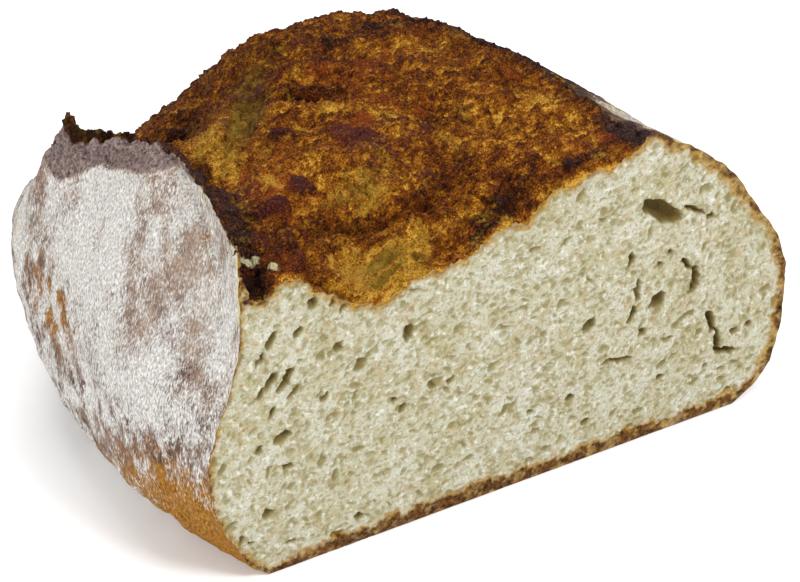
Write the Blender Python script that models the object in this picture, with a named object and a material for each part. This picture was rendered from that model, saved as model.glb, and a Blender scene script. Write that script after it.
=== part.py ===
"""A sourdough loaf with its front third sliced off, as one closed solid.

The loaf rests on its flat base at z = 0. The cut face looks along -Y, the rounded end along +Y.
Named sizes are millimetres, heights are above the base, distances back are from the cut face.
A run is a few (distance back, value) pairs that one size follows from the cut to the rounded end.
"""
import math

import bmesh
import bpy
import numpy as np

MM = 0.001
CUT_Y = -95.0
MIDDLE_X = 7.0

LENGTH = 190.0
TOE = 17.5
LEFT_SIDE = {"wide": 121.5, "at": 76.0, "front": 108.5, "power": 2.5}
RIGHT_SIDE = {"wide": 107.0, "at": 24.0, "front": 106.0, "power": 2.1}
END_SHIFT = -10.0

BULGE_LEFT = ((0, 45), (40, 46), (100, 47), (190, 46))
BULGE_RIGHT = ((0, 45), (100, 49), (190, 46))
TOE_CURVE_LEFT = ((0, 2.5), (30, 2.3), (60, 3.5), (85, 6.0), (130, 5.0), (190, 2.5))
TOE_CURVE_RIGHT = ((0, 5.0), (190, 2.5))
WALL_REACH = ((0, 0.60), (30, 0.85), (60, 1.0), (190, 1.0))
WALL_ROUND = ((0, 0.0), (40, 0.45), (90, 0.6), (190, 1.0))

EAR_IN = ((0, 0.894), (20, 0.81), (47, 0.76), (75, 0.775), (108, 0.845), (125, 0.80), (190, 0.70))
EAR_TOP = (
    (0, 120), (20, 122.5), (45, 126), (60, 123), (75, 118), (95, 112), (103, 112),
    (109, 118), (113, 108), (125, 86), (150, 72), (175, 58), (190, 46),
)
GAP_ACROSS = ((0, 7), (20, 9), (47, 12), (109, 12), (130, 10), (160, 8), (190, 0))
GAP_DEEP = ((0, 21), (8, 17), (20, 14), (47, 13), (75, 9), (95, 6), (109, 12), (122, 3), (140, 0), (190, 0))
CROWN = ((0, 104), (30, 111), (70, 116), (105, 116.5), (130, 111), (150, 100), (170, 82), (182, 66), (190, 46))
CROWN_PLACE = 0.65
BURST_RIM_IN = ((0, 0.425), (20, 0.42), (60, 0.46), (90, 0.45), (120, 0.40), (150, 0.32), (190, 0.25))
BURST_RIM_TOP = ((0, 116), (20, 112), (60, 109.5), (90, 110), (120, 111), (150, 98), (170, 79), (190, 46))
SHOULDER_DROP = ((0, 1.38), (15, 1.6), (50, 2.1), (120, 2.0), (190, 1.0))
SHOULDER_ROUND = ((0, 1.38), (15, 1.25), (50, 1.1), (190, 1.0))

# Swells and hollows of the torn top: across, back, half width, half length, turn in degrees, height.
SWELLS = {
    "knob at the gap": (-82, 0, 9, 14, 0, 4.5),
    "sunk front edge": (-46, -4, 24, 26, 0, -14.5),
    "sunk front middle": (-18, 5, 13, 12, 0, -5.0),
    "raised front right": (20, 8, 20, 14, 0, 3.0),
    "fall at the back left": (-74, 130, 30, 30, 0, -28.0),
    "swell at the back": (22, 148, 24, 16, 0, 2.5),
    "swell at the back left": (-36, 132, 18, 20, 0, 5.0),
    "blister": (-26, 55, 17, 15, 20, 5.0),
    "crease under the blister": (-36, 33, 20, 5, -12, -3.0),
    "crease over the blister": (-26, 83, 24, 5.5, -14, -5.0),
    "ledge over the crease": (-24, 93, 26, 6, -14, 3.0),
    "long hollow": (-55, 84, 6, 17, -18, -6.0),
    "ridge by the long hollow": (-66, 88, 4, 20, -14, 3.0),
    "burnt knob": (-54, 51, 4, 4, 0, 4.0),
    "second knob": (-64, 48, 4, 3, 0, 3.0),
    "front hollow": (-52, 9, 12, 5, 10, -3.5),
    "front hollow to the right": (-30, 11, 10, 4, -8, -3.0),
    "front ridge": (4, 15, 26, 4, 12, 3.5),
    "crease behind the ridge": (6, 24, 28, 4, 12, -2.5),
    "strand": (-18, 33, 18, 3, 0, 2.5),
    "middle dent": (30, 52, 16, 8, 30, -2.5),
    "right dent": (26, 92, 12, 14, 0, -2.0),
}
CRAG_SIZE = 13.0
CRAG_HEIGHT = 2.4
EDGE_CRAG_SIZE = 8.0
EDGE_CRAG_HEIGHT = 2.0
SEED = 11

ROWS = 49
ROW_CROWDING = 1.75
SAMPLES = {"low": 7, "wall": 17, "ear": 8, "top": 40, "shoulder": 17}

# Large crumb holes: across, height, half width, half height, depth, turn in degrees.
CRUMB_HOLES = {
    "top right hole": (50.5, 96.5, 7.5, 2.8, 6.0, -22),
    "slit beside it": (62.0, 95.0, 5.0, 1.6, 4.0, -30),
    "curved hole": (60.0, 75.5, 2.6, 7.0, 4.5, 22),
    "groove foot": (40.5, 66.0, 2.4, 5.5, 5.0, -12),
    "round hole": (49.0, 68.5, 3.4, 3.4, 4.0, 0),
    "left of the groove": (23.5, 66.5, 2.8, 2.6, 4.0, 30),
    "long crack": (75.5, 59.5, 2.4, 7.5, 5.0, 12),
    "crack foot": (79.5, 50.5, 6.0, 2.0, 5.0, -8),
    "flat slit": (36.0, 50.0, 6.0, 1.4, 4.0, 12),
    "middle hole": (-43.0, 75.0, 2.2, 4.0, 3.5, -10),
    "left hole": (-79.0, 51.0, 2.8, 2.0, 3.5, 20),
    "slanted pore": (-82.0, 67.0, 1.6, 4.0, 3.0, -35),
}
HOLE_SEGMENTS = 10
HOLE_RINGS = 6

CRUST_COLOUR = (0.32, 0.15, 0.06, 1.0)
CRUST_ROUGHNESS = 0.8


def along(back, run):
    """Return the value of a run at a distance back, by a smooth curve that never overshoots."""
    places = np.array([pair[0] for pair in run], dtype=float)
    values = np.array([pair[1] for pair in run], dtype=float)
    rise = np.diff(values) / np.diff(places)
    slope = np.zeros_like(values)
    slope[0] = rise[0]
    slope[-1] = rise[-1]
    for i in range(1, len(values) - 1):
        if rise[i - 1] * rise[i] > 0.0:
            slope[i] = 2.0 * rise[i - 1] * rise[i] / (rise[i - 1] + rise[i])
    i = int(np.clip(np.searchsorted(places, back, side="right") - 1, 0, len(places) - 2))
    step = places[i + 1] - places[i]
    t = min(max((back - places[i]) / step, 0.0), 1.0)
    start = values[i] * (1 + 2 * t) * (1 - t) ** 2 + step * slope[i] * t * (1 - t) ** 2
    finish = values[i + 1] * t * t * (3 - 2 * t) + step * slope[i + 1] * t * t * (t - 1)
    return start + finish


def ease(t):
    """Return a smooth step from 0 to 1."""
    t = np.clip(t, 0.0, 1.0)
    return t * t * (3.0 - 2.0 * t)


def half_width(back, side, inset):
    """Return the half width of one side of the plan at a distance back, drawn in by an inset."""
    inset = np.asarray(inset, dtype=float)
    wide = side["wide"] - inset
    front = side["front"] - inset
    lead = side["at"] / (1.0 - (front / wide) ** side["power"]) ** (1.0 / side["power"])
    tail = LENGTH - inset - side["at"]
    part = (side["at"] - back) / lead if back < side["at"] else (back - side["at"]) / tail
    return wide * np.clip(1.0 - part ** side["power"], 0.0, None) ** (1.0 / side["power"])


def lattice(cell, seed):
    """Return one fixed random value from -1 to 1 for each whole-number cell."""
    whole = cell.astype(np.int64)
    mixed = whole[..., 0] * 374761393 + whole[..., 1] * 668265263 + whole[..., 2] * 1274126177
    mixed = (mixed + seed * 97531) & 0xFFFFFFFF
    mixed = ((mixed ^ (mixed >> 13)) * 1103515245) & 0xFFFFFFFF
    mixed = ((mixed ^ (mixed >> 16)) * 69069) & 0xFFFFFFFF
    return (mixed >> 8) / float(1 << 23) - 1.0


def lumps(points, size, seed):
    """Return smooth random lumps from -1 to 1 at points, about one lump to a size."""
    scaled = points / size
    cell = np.floor(scaled)
    part = ease(scaled - cell)
    total = np.zeros(points.shape[:-1])
    for corner in np.ndindex(2, 2, 2):
        weight = np.ones(points.shape[:-1])
        for axis in range(3):
            weight = weight * (part[..., axis] if corner[axis] else 1.0 - part[..., axis])
        total = total + weight * lattice(cell + np.array(corner), seed)
    return total


def lower_side(back, side, bulge, curve, count):
    """Return one side's outline from the base up to the bulge, as distances out and heights."""
    toe = min(TOE, 0.95 * (side["wide"] - 1.0))
    behind = max(0.0, LENGTH - back)
    lowest = 0.0 if behind >= toe else bulge * (1.0 - (behind / toe) ** (1.0 / curve))
    height = lowest + (bulge - lowest) * np.linspace(0.0, 1.0, count) ** 1.4
    inset = toe * np.clip(1.0 - height / bulge, 0.0, 1.0) ** curve
    return half_width(back, side, inset), height


def torn_top(across, back, gap, rim):
    """Return heights of the torn top between the gap behind the ear and the right rim."""
    crown = along(back, CROWN)
    middle = gap[0] + CROWN_PLACE * (rim[0] - gap[0])
    left = np.clip((middle - across) / max(middle - gap[0], 1e-6), 0.0, 1.0)
    right = np.clip((across - middle) / max(rim[0] - middle, 1e-6), 0.0, 1.0)
    from_gap = gap[1] + (crown - gap[1]) * (1.0 - left ** 2.6)
    from_rim = rim[1] + (crown - rim[1]) * (1.0 - right ** 2.2)
    height = np.where(across < middle, from_gap, from_rim)
    for x, y, half_x, half_y, turn, swell in SWELLS.values():
        angle = math.radians(turn)
        dx = across - x
        dy = back - y
        u = (dx * math.cos(angle) + dy * math.sin(angle)) / half_x
        v = (dy * math.cos(angle) - dx * math.sin(angle)) / half_y
        height = height + swell * np.exp(-(u * u) - v * v)
    return height


def section(back):
    """Return one cross-section from the left edge of the base over the top to its right edge."""
    left_wide = float(half_width(back, LEFT_SIDE, 0.0))
    right_wide = float(half_width(back, RIGHT_SIDE, 0.0))
    left_bulge = along(back, BULGE_LEFT)
    right_bulge = along(back, BULGE_RIGHT)
    size = left_wide / LEFT_SIDE["wide"]

    out, height = lower_side(back, LEFT_SIDE, left_bulge, along(back, TOE_CURVE_LEFT), SAMPLES["low"])
    pieces = [np.stack([-out, height, np.zeros_like(out)], axis=-1)]

    ear = (-left_wide * along(back, EAR_IN), along(back, EAR_TOP))
    turn = np.linspace(0.0, 1.0, SAMPLES["wall"])[1:]
    height = left_bulge + (ear[1] - left_bulge) * np.sin(turn * math.pi / 2.0)
    risen = np.clip(np.sin(turn * math.pi / 2.0) / along(back, WALL_REACH), 0.0, 1.0)
    rounded = 1.0 - np.sqrt(np.clip(1.0 - risen ** 2, 0.0, 1.0))
    blend = along(back, WALL_ROUND)
    lean = ease(risen) * (1.0 - blend) + rounded * blend
    pieces.append(np.stack([-left_wide + (left_wide + ear[0]) * lean, height, ease((turn - 0.7) / 0.3)], axis=-1))

    gap = (ear[0] + along(back, GAP_ACROSS), ear[1] - along(back, GAP_DEEP))
    t = np.linspace(0.0, 1.0, SAMPLES["ear"])[1:]
    x = ear[0] + (gap[0] - ear[0]) * t ** 0.8
    z = ear[1] + (gap[1] - ear[1]) * ease(t) + 1.5 * size * np.sin(math.pi * np.minimum(1.0, t * 2.0))
    pieces.append(np.stack([x, z, 1.0 - 0.5 * t], axis=-1))

    rim = (right_wide * along(back, BURST_RIM_IN), along(back, BURST_RIM_TOP))
    t = np.linspace(0.0, 1.0, SAMPLES["top"])[1:]
    x = gap[0] + (rim[0] - gap[0]) * t
    pieces.append(np.stack([x, torn_top(x, back, gap, rim), np.full_like(t, 0.8)], axis=-1))

    t = np.linspace(0.0, 1.0, SAMPLES["shoulder"])[1:]
    x = rim[0] + (right_wide - rim[0]) * np.sin(t * math.pi / 2.0) ** along(back, SHOULDER_DROP)
    round_off = np.clip(np.cos(t * math.pi / 2.0), 0.0, 1.0) ** along(back, SHOULDER_ROUND)
    z = right_bulge + (rim[1] - right_bulge) * round_off
    pieces.append(np.stack([x, z, ease(1.0 - t / 0.3)], axis=-1))

    out, height = lower_side(back, RIGHT_SIDE, right_bulge, along(back, TOE_CURVE_RIGHT), SAMPLES["low"])
    pieces.append(np.stack([out, height, np.zeros_like(out)], axis=-1)[::-1][1:])
    return np.concatenate(pieces)


def loaf_rows():
    """Return the rows of surface points, from the cut face to the rounded end."""
    spread = np.linspace(0.0, 1.0, ROWS)
    rows = []
    for back in LENGTH * (1.0 - (1.0 - spread) ** ROW_CROWDING):
        line = section(float(back))
        shift = END_SHIFT * float(ease((back - 60.0) / (LENGTH - 60.0)))
        place = np.stack([line[:, 0] + shift, np.full(len(line), back), line[:, 1]], axis=-1)
        torn = line[:, 2] * float(ease((LENGTH - back) / 40.0))
        crags = CRAG_HEIGHT * lumps(place, CRAG_SIZE, SEED)
        crags = crags + EDGE_CRAG_HEIGHT * lumps(place, EDGE_CRAG_SIZE, SEED + 1)
        place[:, 2] = place[:, 2] + crags * torn
        rows.append(place)
    return np.array(rows)


def new_collection(name):
    """Return a new collection in the scene."""
    group = bpy.data.collections.new(name)
    bpy.context.scene.collection.children.link(group)
    return group


def new_object(name, mesh_data, group):
    """Return a new object that holds a finished bmesh."""
    mesh = bpy.data.meshes.new(name)
    mesh_data.to_mesh(mesh)
    mesh_data.free()
    made = bpy.data.objects.new(name, mesh)
    group.objects.link(made)
    return made


def in_row_frame(points):
    """Return millimetre points of the loaf as metres in the frame that the part is built in."""
    return (points + np.array([MIDDLE_X, CUT_Y, 0.0])) * MM


def build_loaf(group):
    """Build the closed body of the loaf from a grid shaped to the sections."""
    rows = in_row_frame(loaf_rows())
    count, across = rows.shape[:2]
    shape = bmesh.new()
    bmesh.ops.create_grid(shape, x_segments=across - 1, y_segments=count - 1, size=1.0)
    shape.verts.ensure_lookup_table()
    for index, vert in enumerate(shape.verts):
        vert.co = rows[index // across, index % across]
    seam = [(shape.verts[i * across], shape.verts[i * across + across - 1]) for i in range(count)]
    for (left, right), (left_next, right_next) in zip(seam[:-1], seam[1:]):
        if (left_next.co - right_next.co).length > 1e-5 or (left.co - right.co).length > 1e-5:
            shape.faces.new((left, right, right_next, left_next))
    bmesh.ops.remove_doubles(shape, verts=shape.verts[:], dist=0.00002)
    bmesh.ops.dissolve_degenerate(shape, edges=shape.edges[:], dist=0.00001)
    bmesh.ops.holes_fill(shape, edges=[edge for edge in shape.edges if edge.is_boundary], sides=0)
    bmesh.ops.recalc_face_normals(shape, faces=shape.faces[:])
    return new_object("loaf", shape, group)


def build_holes(group):
    """Build the shapes that hollow the larger crumb holes out of the cut face."""
    shape = bmesh.new()
    for across, height, half_wide, half_high, depth, turn in CRUMB_HOLES.values():
        made = bmesh.ops.create_uvsphere(
            shape, u_segments=HOLE_SEGMENTS, v_segments=HOLE_RINGS, radius=1.0
        )["verts"]
        angle = math.radians(turn)
        for vert in made:
            x = vert.co.x * half_wide
            z = vert.co.z * half_high
            turned = np.array([
                across + x * math.cos(angle) - z * math.sin(angle),
                vert.co.y * depth,
                height + x * math.sin(angle) + z * math.cos(angle),
            ])
            vert.co = in_row_frame(turned)
    cutter = new_object("crumb_holes", shape, group)
    cutter.display_type = "WIRE"
    cutter.hide_render = True
    return cutter


def crust_material():
    """Return the browned crust material of the loaf."""
    material = bpy.data.materials.new("bread_crust")
    material.use_nodes = True
    shader = material.node_tree.nodes["Principled BSDF"]
    shader.inputs["Base Color"].default_value = CRUST_COLOUR
    shader.inputs["Roughness"].default_value = CRUST_ROUGHNESS
    return material


def main():
    """Clear the scene and build the loaf with its crumb holes."""
    for old in list(bpy.data.objects):
        bpy.data.objects.remove(old, do_unlink=True)
    parts = new_collection("sourdough_loaf")
    cutters = new_collection("cutters")
    loaf = build_loaf(parts)
    loaf.data.materials.append(crust_material())
    holes = build_holes(cutters)
    cut = loaf.modifiers.new("crumb holes", "BOOLEAN")
    cut.operation = "DIFFERENCE"
    cut.solver = "EXACT"
    cut.use_self = True
    cut.object = holes


main()
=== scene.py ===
"""A sourdough loaf with its front third sliced off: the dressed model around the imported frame.

Sizes are millimetres unless a name says otherwise. Heights are above the base, and distances back are from
the cut face. The crust is worked out on one grid of points, so that its pieces meet without a gap.
"""
from __future__ import annotations

import logging
import math
from dataclasses import dataclass, field
from enum import Enum
from typing import Any, Iterable, Mapping, Sequence

import bpy
import numpy as np
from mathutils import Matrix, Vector, geometry, kdtree


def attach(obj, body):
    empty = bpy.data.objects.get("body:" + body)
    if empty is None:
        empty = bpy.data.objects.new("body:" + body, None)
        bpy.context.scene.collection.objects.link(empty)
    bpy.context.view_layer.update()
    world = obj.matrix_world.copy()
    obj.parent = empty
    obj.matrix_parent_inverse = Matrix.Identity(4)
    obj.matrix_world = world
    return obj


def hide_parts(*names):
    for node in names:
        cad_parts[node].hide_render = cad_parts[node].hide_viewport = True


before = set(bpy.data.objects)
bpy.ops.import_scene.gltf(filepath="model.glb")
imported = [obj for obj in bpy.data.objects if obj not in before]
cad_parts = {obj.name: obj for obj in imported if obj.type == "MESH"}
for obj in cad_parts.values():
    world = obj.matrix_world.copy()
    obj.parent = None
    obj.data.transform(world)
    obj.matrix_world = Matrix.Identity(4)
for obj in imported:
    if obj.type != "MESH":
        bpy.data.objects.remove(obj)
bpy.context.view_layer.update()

Array = np.ndarray
Tree = bpy.types.NodeTree
Socket = bpy.types.NodeSocket

LOG = logging.getLogger("sourdough_loaf")
MM = 0.001
BODY = "root"
NODE = "loaf"
UV_NAME = "OFBake"

# Where the form's own zero lies in the row frame: the middle of the cut, and the cut face itself.
MIDDLE_X = 7.0
CUT_Y = -95.0

# Below this a length counts as nothing.
TINY = 1e-6


# Numbers that make shapes


def ease(t: Any) -> Any:
    """Return a smooth step from 0 to 1."""
    t = np.clip(t, 0.0, 1.0)
    return t * t * (3.0 - 2.0 * t)


def lattice(cell: Array, seed: int) -> Array:
    """Return one fixed random value from -1 to 1 for each whole-number cell.

    Args:
        cell: Whole-number cells, with x, y and z on the last axis.
        seed: The number that tells one pattern from another.

    Returns:
        One value a cell.
    """
    whole = cell.astype(np.int64)
    mixed = whole[..., 0] * 374761393 + whole[..., 1] * 668265263 + whole[..., 2] * 1274126177
    mixed = (mixed + seed * 97531) & 0xFFFFFFFF
    mixed = ((mixed ^ (mixed >> 13)) * 1103515245) & 0xFFFFFFFF
    mixed = ((mixed ^ (mixed >> 16)) * 69069) & 0xFFFFFFFF
    return (mixed >> 8) / float(1 << 23) - 1.0


def lumps(points: Array, size: float | Sequence[float], seed: int) -> Array:
    """Return smooth random lumps from -1 to 1.

    Args:
        points: Points with x, y and z on the last axis.
        size: How far apart the lumps are, the same each way or one size an axis.
        seed: The number that tells one pattern from another.

    Returns:
        One value a point.
    """
    scaled = points / np.asarray(size, dtype=float)
    cell = np.floor(scaled)
    part = ease(scaled - cell)
    total = np.zeros(points.shape[:-1])
    for corner in np.ndindex(2, 2, 2):
        weight = np.ones(points.shape[:-1])
        for axis in range(3):
            weight = weight * (part[..., axis] if corner[axis] else 1.0 - part[..., axis])
        total = total + weight * lattice(cell + np.array(corner), seed)
    return total


def fractal(points: Array, size: float | Sequence[float], octaves: int, seed: int) -> Array:
    """Return lumps upon lumps, each octave half as large and half as strong as the last.

    Args:
        points: Points with x, y and z on the last axis.
        size: The size of the largest lumps.
        octaves: How many sizes of lump there are.
        seed: The number that tells one pattern from another.

    Returns:
        One value a point, mostly from -1 to 1.
    """
    total = np.zeros(points.shape[:-1])
    for octave in range(octaves):
        total = total + 0.5 ** octave * lumps(points, np.asarray(size) * 0.5 ** octave, seed + octave)
    return total


def bubbles(points: Array, size: float | Sequence[float], seed: int) -> tuple[Array, Array]:
    """Return how far each point is from the nearest and the second nearest of scattered bubble centres.

    Args:
        points: Points with x, y and z on the last axis.
        size: How far apart the bubbles are.
        seed: The number that tells one pattern from another.

    Returns:
        Both distances, in sizes.
    """
    scaled = points / np.asarray(size, dtype=float)
    cell = np.floor(scaled)
    nearest = np.full(points.shape[:-1], 9.0)
    second = np.full(points.shape[:-1], 9.0)
    for corner in np.ndindex(3, 3, 3):
        other = cell + (np.array(corner) - 1.0)
        spread = [lattice(other, seed + axis * 7) * 0.5 + 0.5 for axis in range(3)]
        gap = np.linalg.norm(other + np.stack(spread, axis=-1) - scaled, axis=-1)
        second = np.minimum(second, np.maximum(nearest, gap))
        nearest = np.minimum(nearest, gap)
    return nearest, second


def blurred(values: Array, reach: int) -> Array:
    """Return grid values averaged twice over a square of points.

    Args:
        values: One value a grid point.
        reach: Half the square's side, in grid points.

    Returns:
        The averaged values.
    """
    for _ in range(2):
        for axis in (0, 1):
            pad = [(0, 0), (0, 0)]
            pad[axis] = (reach + 1, reach)
            summed = np.cumsum(np.pad(values, pad, mode="edge"), axis=axis)
            size = values.shape[axis]
            high = np.take(summed, range(2 * reach + 1, 2 * reach + 1 + size), axis=axis)
            low = np.take(summed, range(size), axis=axis)
            values = (high - low) / (2 * reach + 1)
    return values


@dataclass(frozen=True)
class Run:
    """One size that changes along the loaf, as (distance back, value) pairs joined smoothly."""

    knots: tuple[tuple[float, float], ...]

    def at(self, back: float) -> float:
        """Return the value at a distance back, without overshoot between the knots."""
        places = np.array([knot[0] for knot in self.knots], dtype=float)
        values = np.array([knot[1] for knot in self.knots], dtype=float)
        rise = np.diff(values) / np.diff(places)
        slope = np.zeros_like(values)
        slope[0] = rise[0]
        slope[-1] = rise[-1]
        for i in range(1, len(values) - 1):
            if rise[i - 1] * rise[i] > 0.0:
                slope[i] = 2.0 * rise[i - 1] * rise[i] / (rise[i - 1] + rise[i])
        i = int(np.clip(np.searchsorted(places, back, side="right") - 1, 0, len(places) - 2))
        step = places[i + 1] - places[i]
        t = min(max((back - places[i]) / step, 0.0), 1.0)
        start = values[i] * (1 + 2 * t) * (1 - t) ** 2 + step * slope[i] * t * (1 - t) ** 2
        finish = values[i + 1] * t * t * (3 - 2 * t) + step * slope[i + 1] * t * t * (t - 1)
        return float(start + finish)

    def over(self, back: Array) -> Array:
        """Return the values at many distances back."""
        return np.array([self.at(float(one)) for one in back])


@dataclass(frozen=True)
class Spot:
    """A soft oval place on a surface, with a strength: a swell, a hollow or a stain."""

    across: float
    along: float
    half_across: float
    half_along: float
    turn: float
    strength: float

    def weight(self, across: Array, along: Array) -> Array:
        """Return the spot's share, 1 at its middle, at places on the surface."""
        angle = math.radians(self.turn)
        dx = across - self.across
        dy = along - self.along
        u = (dx * math.cos(angle) + dy * math.sin(angle)) / self.half_across
        v = (dy * math.cos(angle) - dx * math.sin(angle)) / self.half_along
        return np.exp(-(u * u) - v * v)


Spots = Mapping[str, Spot]


def spots_sum(spots: Spots, across: Array, along: Array) -> Array:
    """Return the sum of all spots' strengths at places on the surface."""
    total = np.zeros(np.broadcast(across, along).shape)
    for spot in spots.values():
        total = total + spot.strength * spot.weight(across, along)
    return total


@dataclass(frozen=True)
class Fade:
    """A soft step from 0 to 1: where it begins and how wide it is. A width below 0 makes it run down."""

    start: float
    width: float

    def at(self, value: Any) -> Any:
        """Return the step at values."""
        return ease((value - self.start) / self.width)


@dataclass(frozen=True)
class Band:
    """A soft band round one value: its middle, where it is 1, and the half width over which it fades."""

    middle: float
    half: float

    def at(self, value: Any) -> Any:
        """Return the band's share at values."""
        return np.exp(-((value - self.middle) / self.half) ** 2)


@dataclass(frozen=True)
class Noise:
    """Random lumps: their size, their height, how many ever finer sizes there are, and a seed."""

    size: float | tuple[float, float, float]
    height: float
    octaves: int
    seed: int

    def at(self, points: Array) -> Array:
        """Return the lumps' heights at points."""
        return self.height * fractal(points, self.size, self.octaves, self.seed)


@dataclass(frozen=True)
class Ridges(Noise):
    """Random ridges with sharp crests: lumps that are folded up, less a middle level."""

    level: float = 0.45

    def at(self, points: Array) -> Array:
        """Return the ridges' heights at points."""
        return self.height * (self.level - np.abs(fractal(points, self.size, self.octaves, self.seed)))


@dataclass(frozen=True)
class Granules:
    """Rounded granules side by side: their size, their height, their grooves' width and a middle level."""

    size: float
    height: float
    seed: int
    groove: float = 0.45
    level: float = 0.7

    def at(self, points: Array) -> Array:
        """Return the granules' heights at points."""
        nearest, second = bubbles(points, self.size, self.seed)
        return self.height * (ease((second - nearest) / self.groove) - self.level)


def heaped(noises: Iterable[Noise | Granules], points: Array) -> Array:
    """Return the sum of several kinds of lumps at points."""
    return sum(noise.at(points) for noise in noises)


# The form that the solid has too


class Stretch(Enum):
    """The stretches of one cross-section, from the left edge of the base to its right edge."""

    LOW_LEFT = "low left"
    WALL = "wall"
    EAR = "ear"
    TOP = "top"
    SHOULDER = "shoulder"
    LOW_RIGHT = "low right"


Place = tuple[float, float]


@dataclass(frozen=True)
class SectionFrame:
    """A cross-section's main points: both widest ones, the ear's crest, the gap's foot and the rim."""

    back: float
    left: Place
    crest: Place
    gap: Place
    rim: Place
    right: Place


def lined(across: Array, height: Array, craggy: Array | float) -> Array:
    """Return points of a cross-section as rows of place across, height and cragginess."""
    return np.stack([across, height, np.broadcast_to(craggy, across.shape)], axis=-1)


@dataclass(frozen=True)
class Side:
    """One side of the loaf's plan: its widest half width, where that is, and its curve."""

    wide: float
    at: float
    front: float
    power: float

    def half_width(self, back: float, inset: Any, length: float) -> Array:
        """Return the half width at a distance back.

        Args:
            back: The distance back from the cut face.
            inset: How far the plan is drawn in, as it is near the base.
            length: The loaf's length.

        Returns:
            One half width an inset.
        """
        inset = np.asarray(inset, dtype=float)
        wide = self.wide - inset
        front = self.front - inset
        lead = self.at / (1.0 - (front / wide) ** self.power) ** (1.0 / self.power)
        tail = length - inset - self.at
        part = (self.at - back) / lead if back < self.at else (back - self.at) / tail
        return wide * np.clip(1.0 - part ** self.power, 0.0, None) ** (1.0 / self.power)


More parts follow.
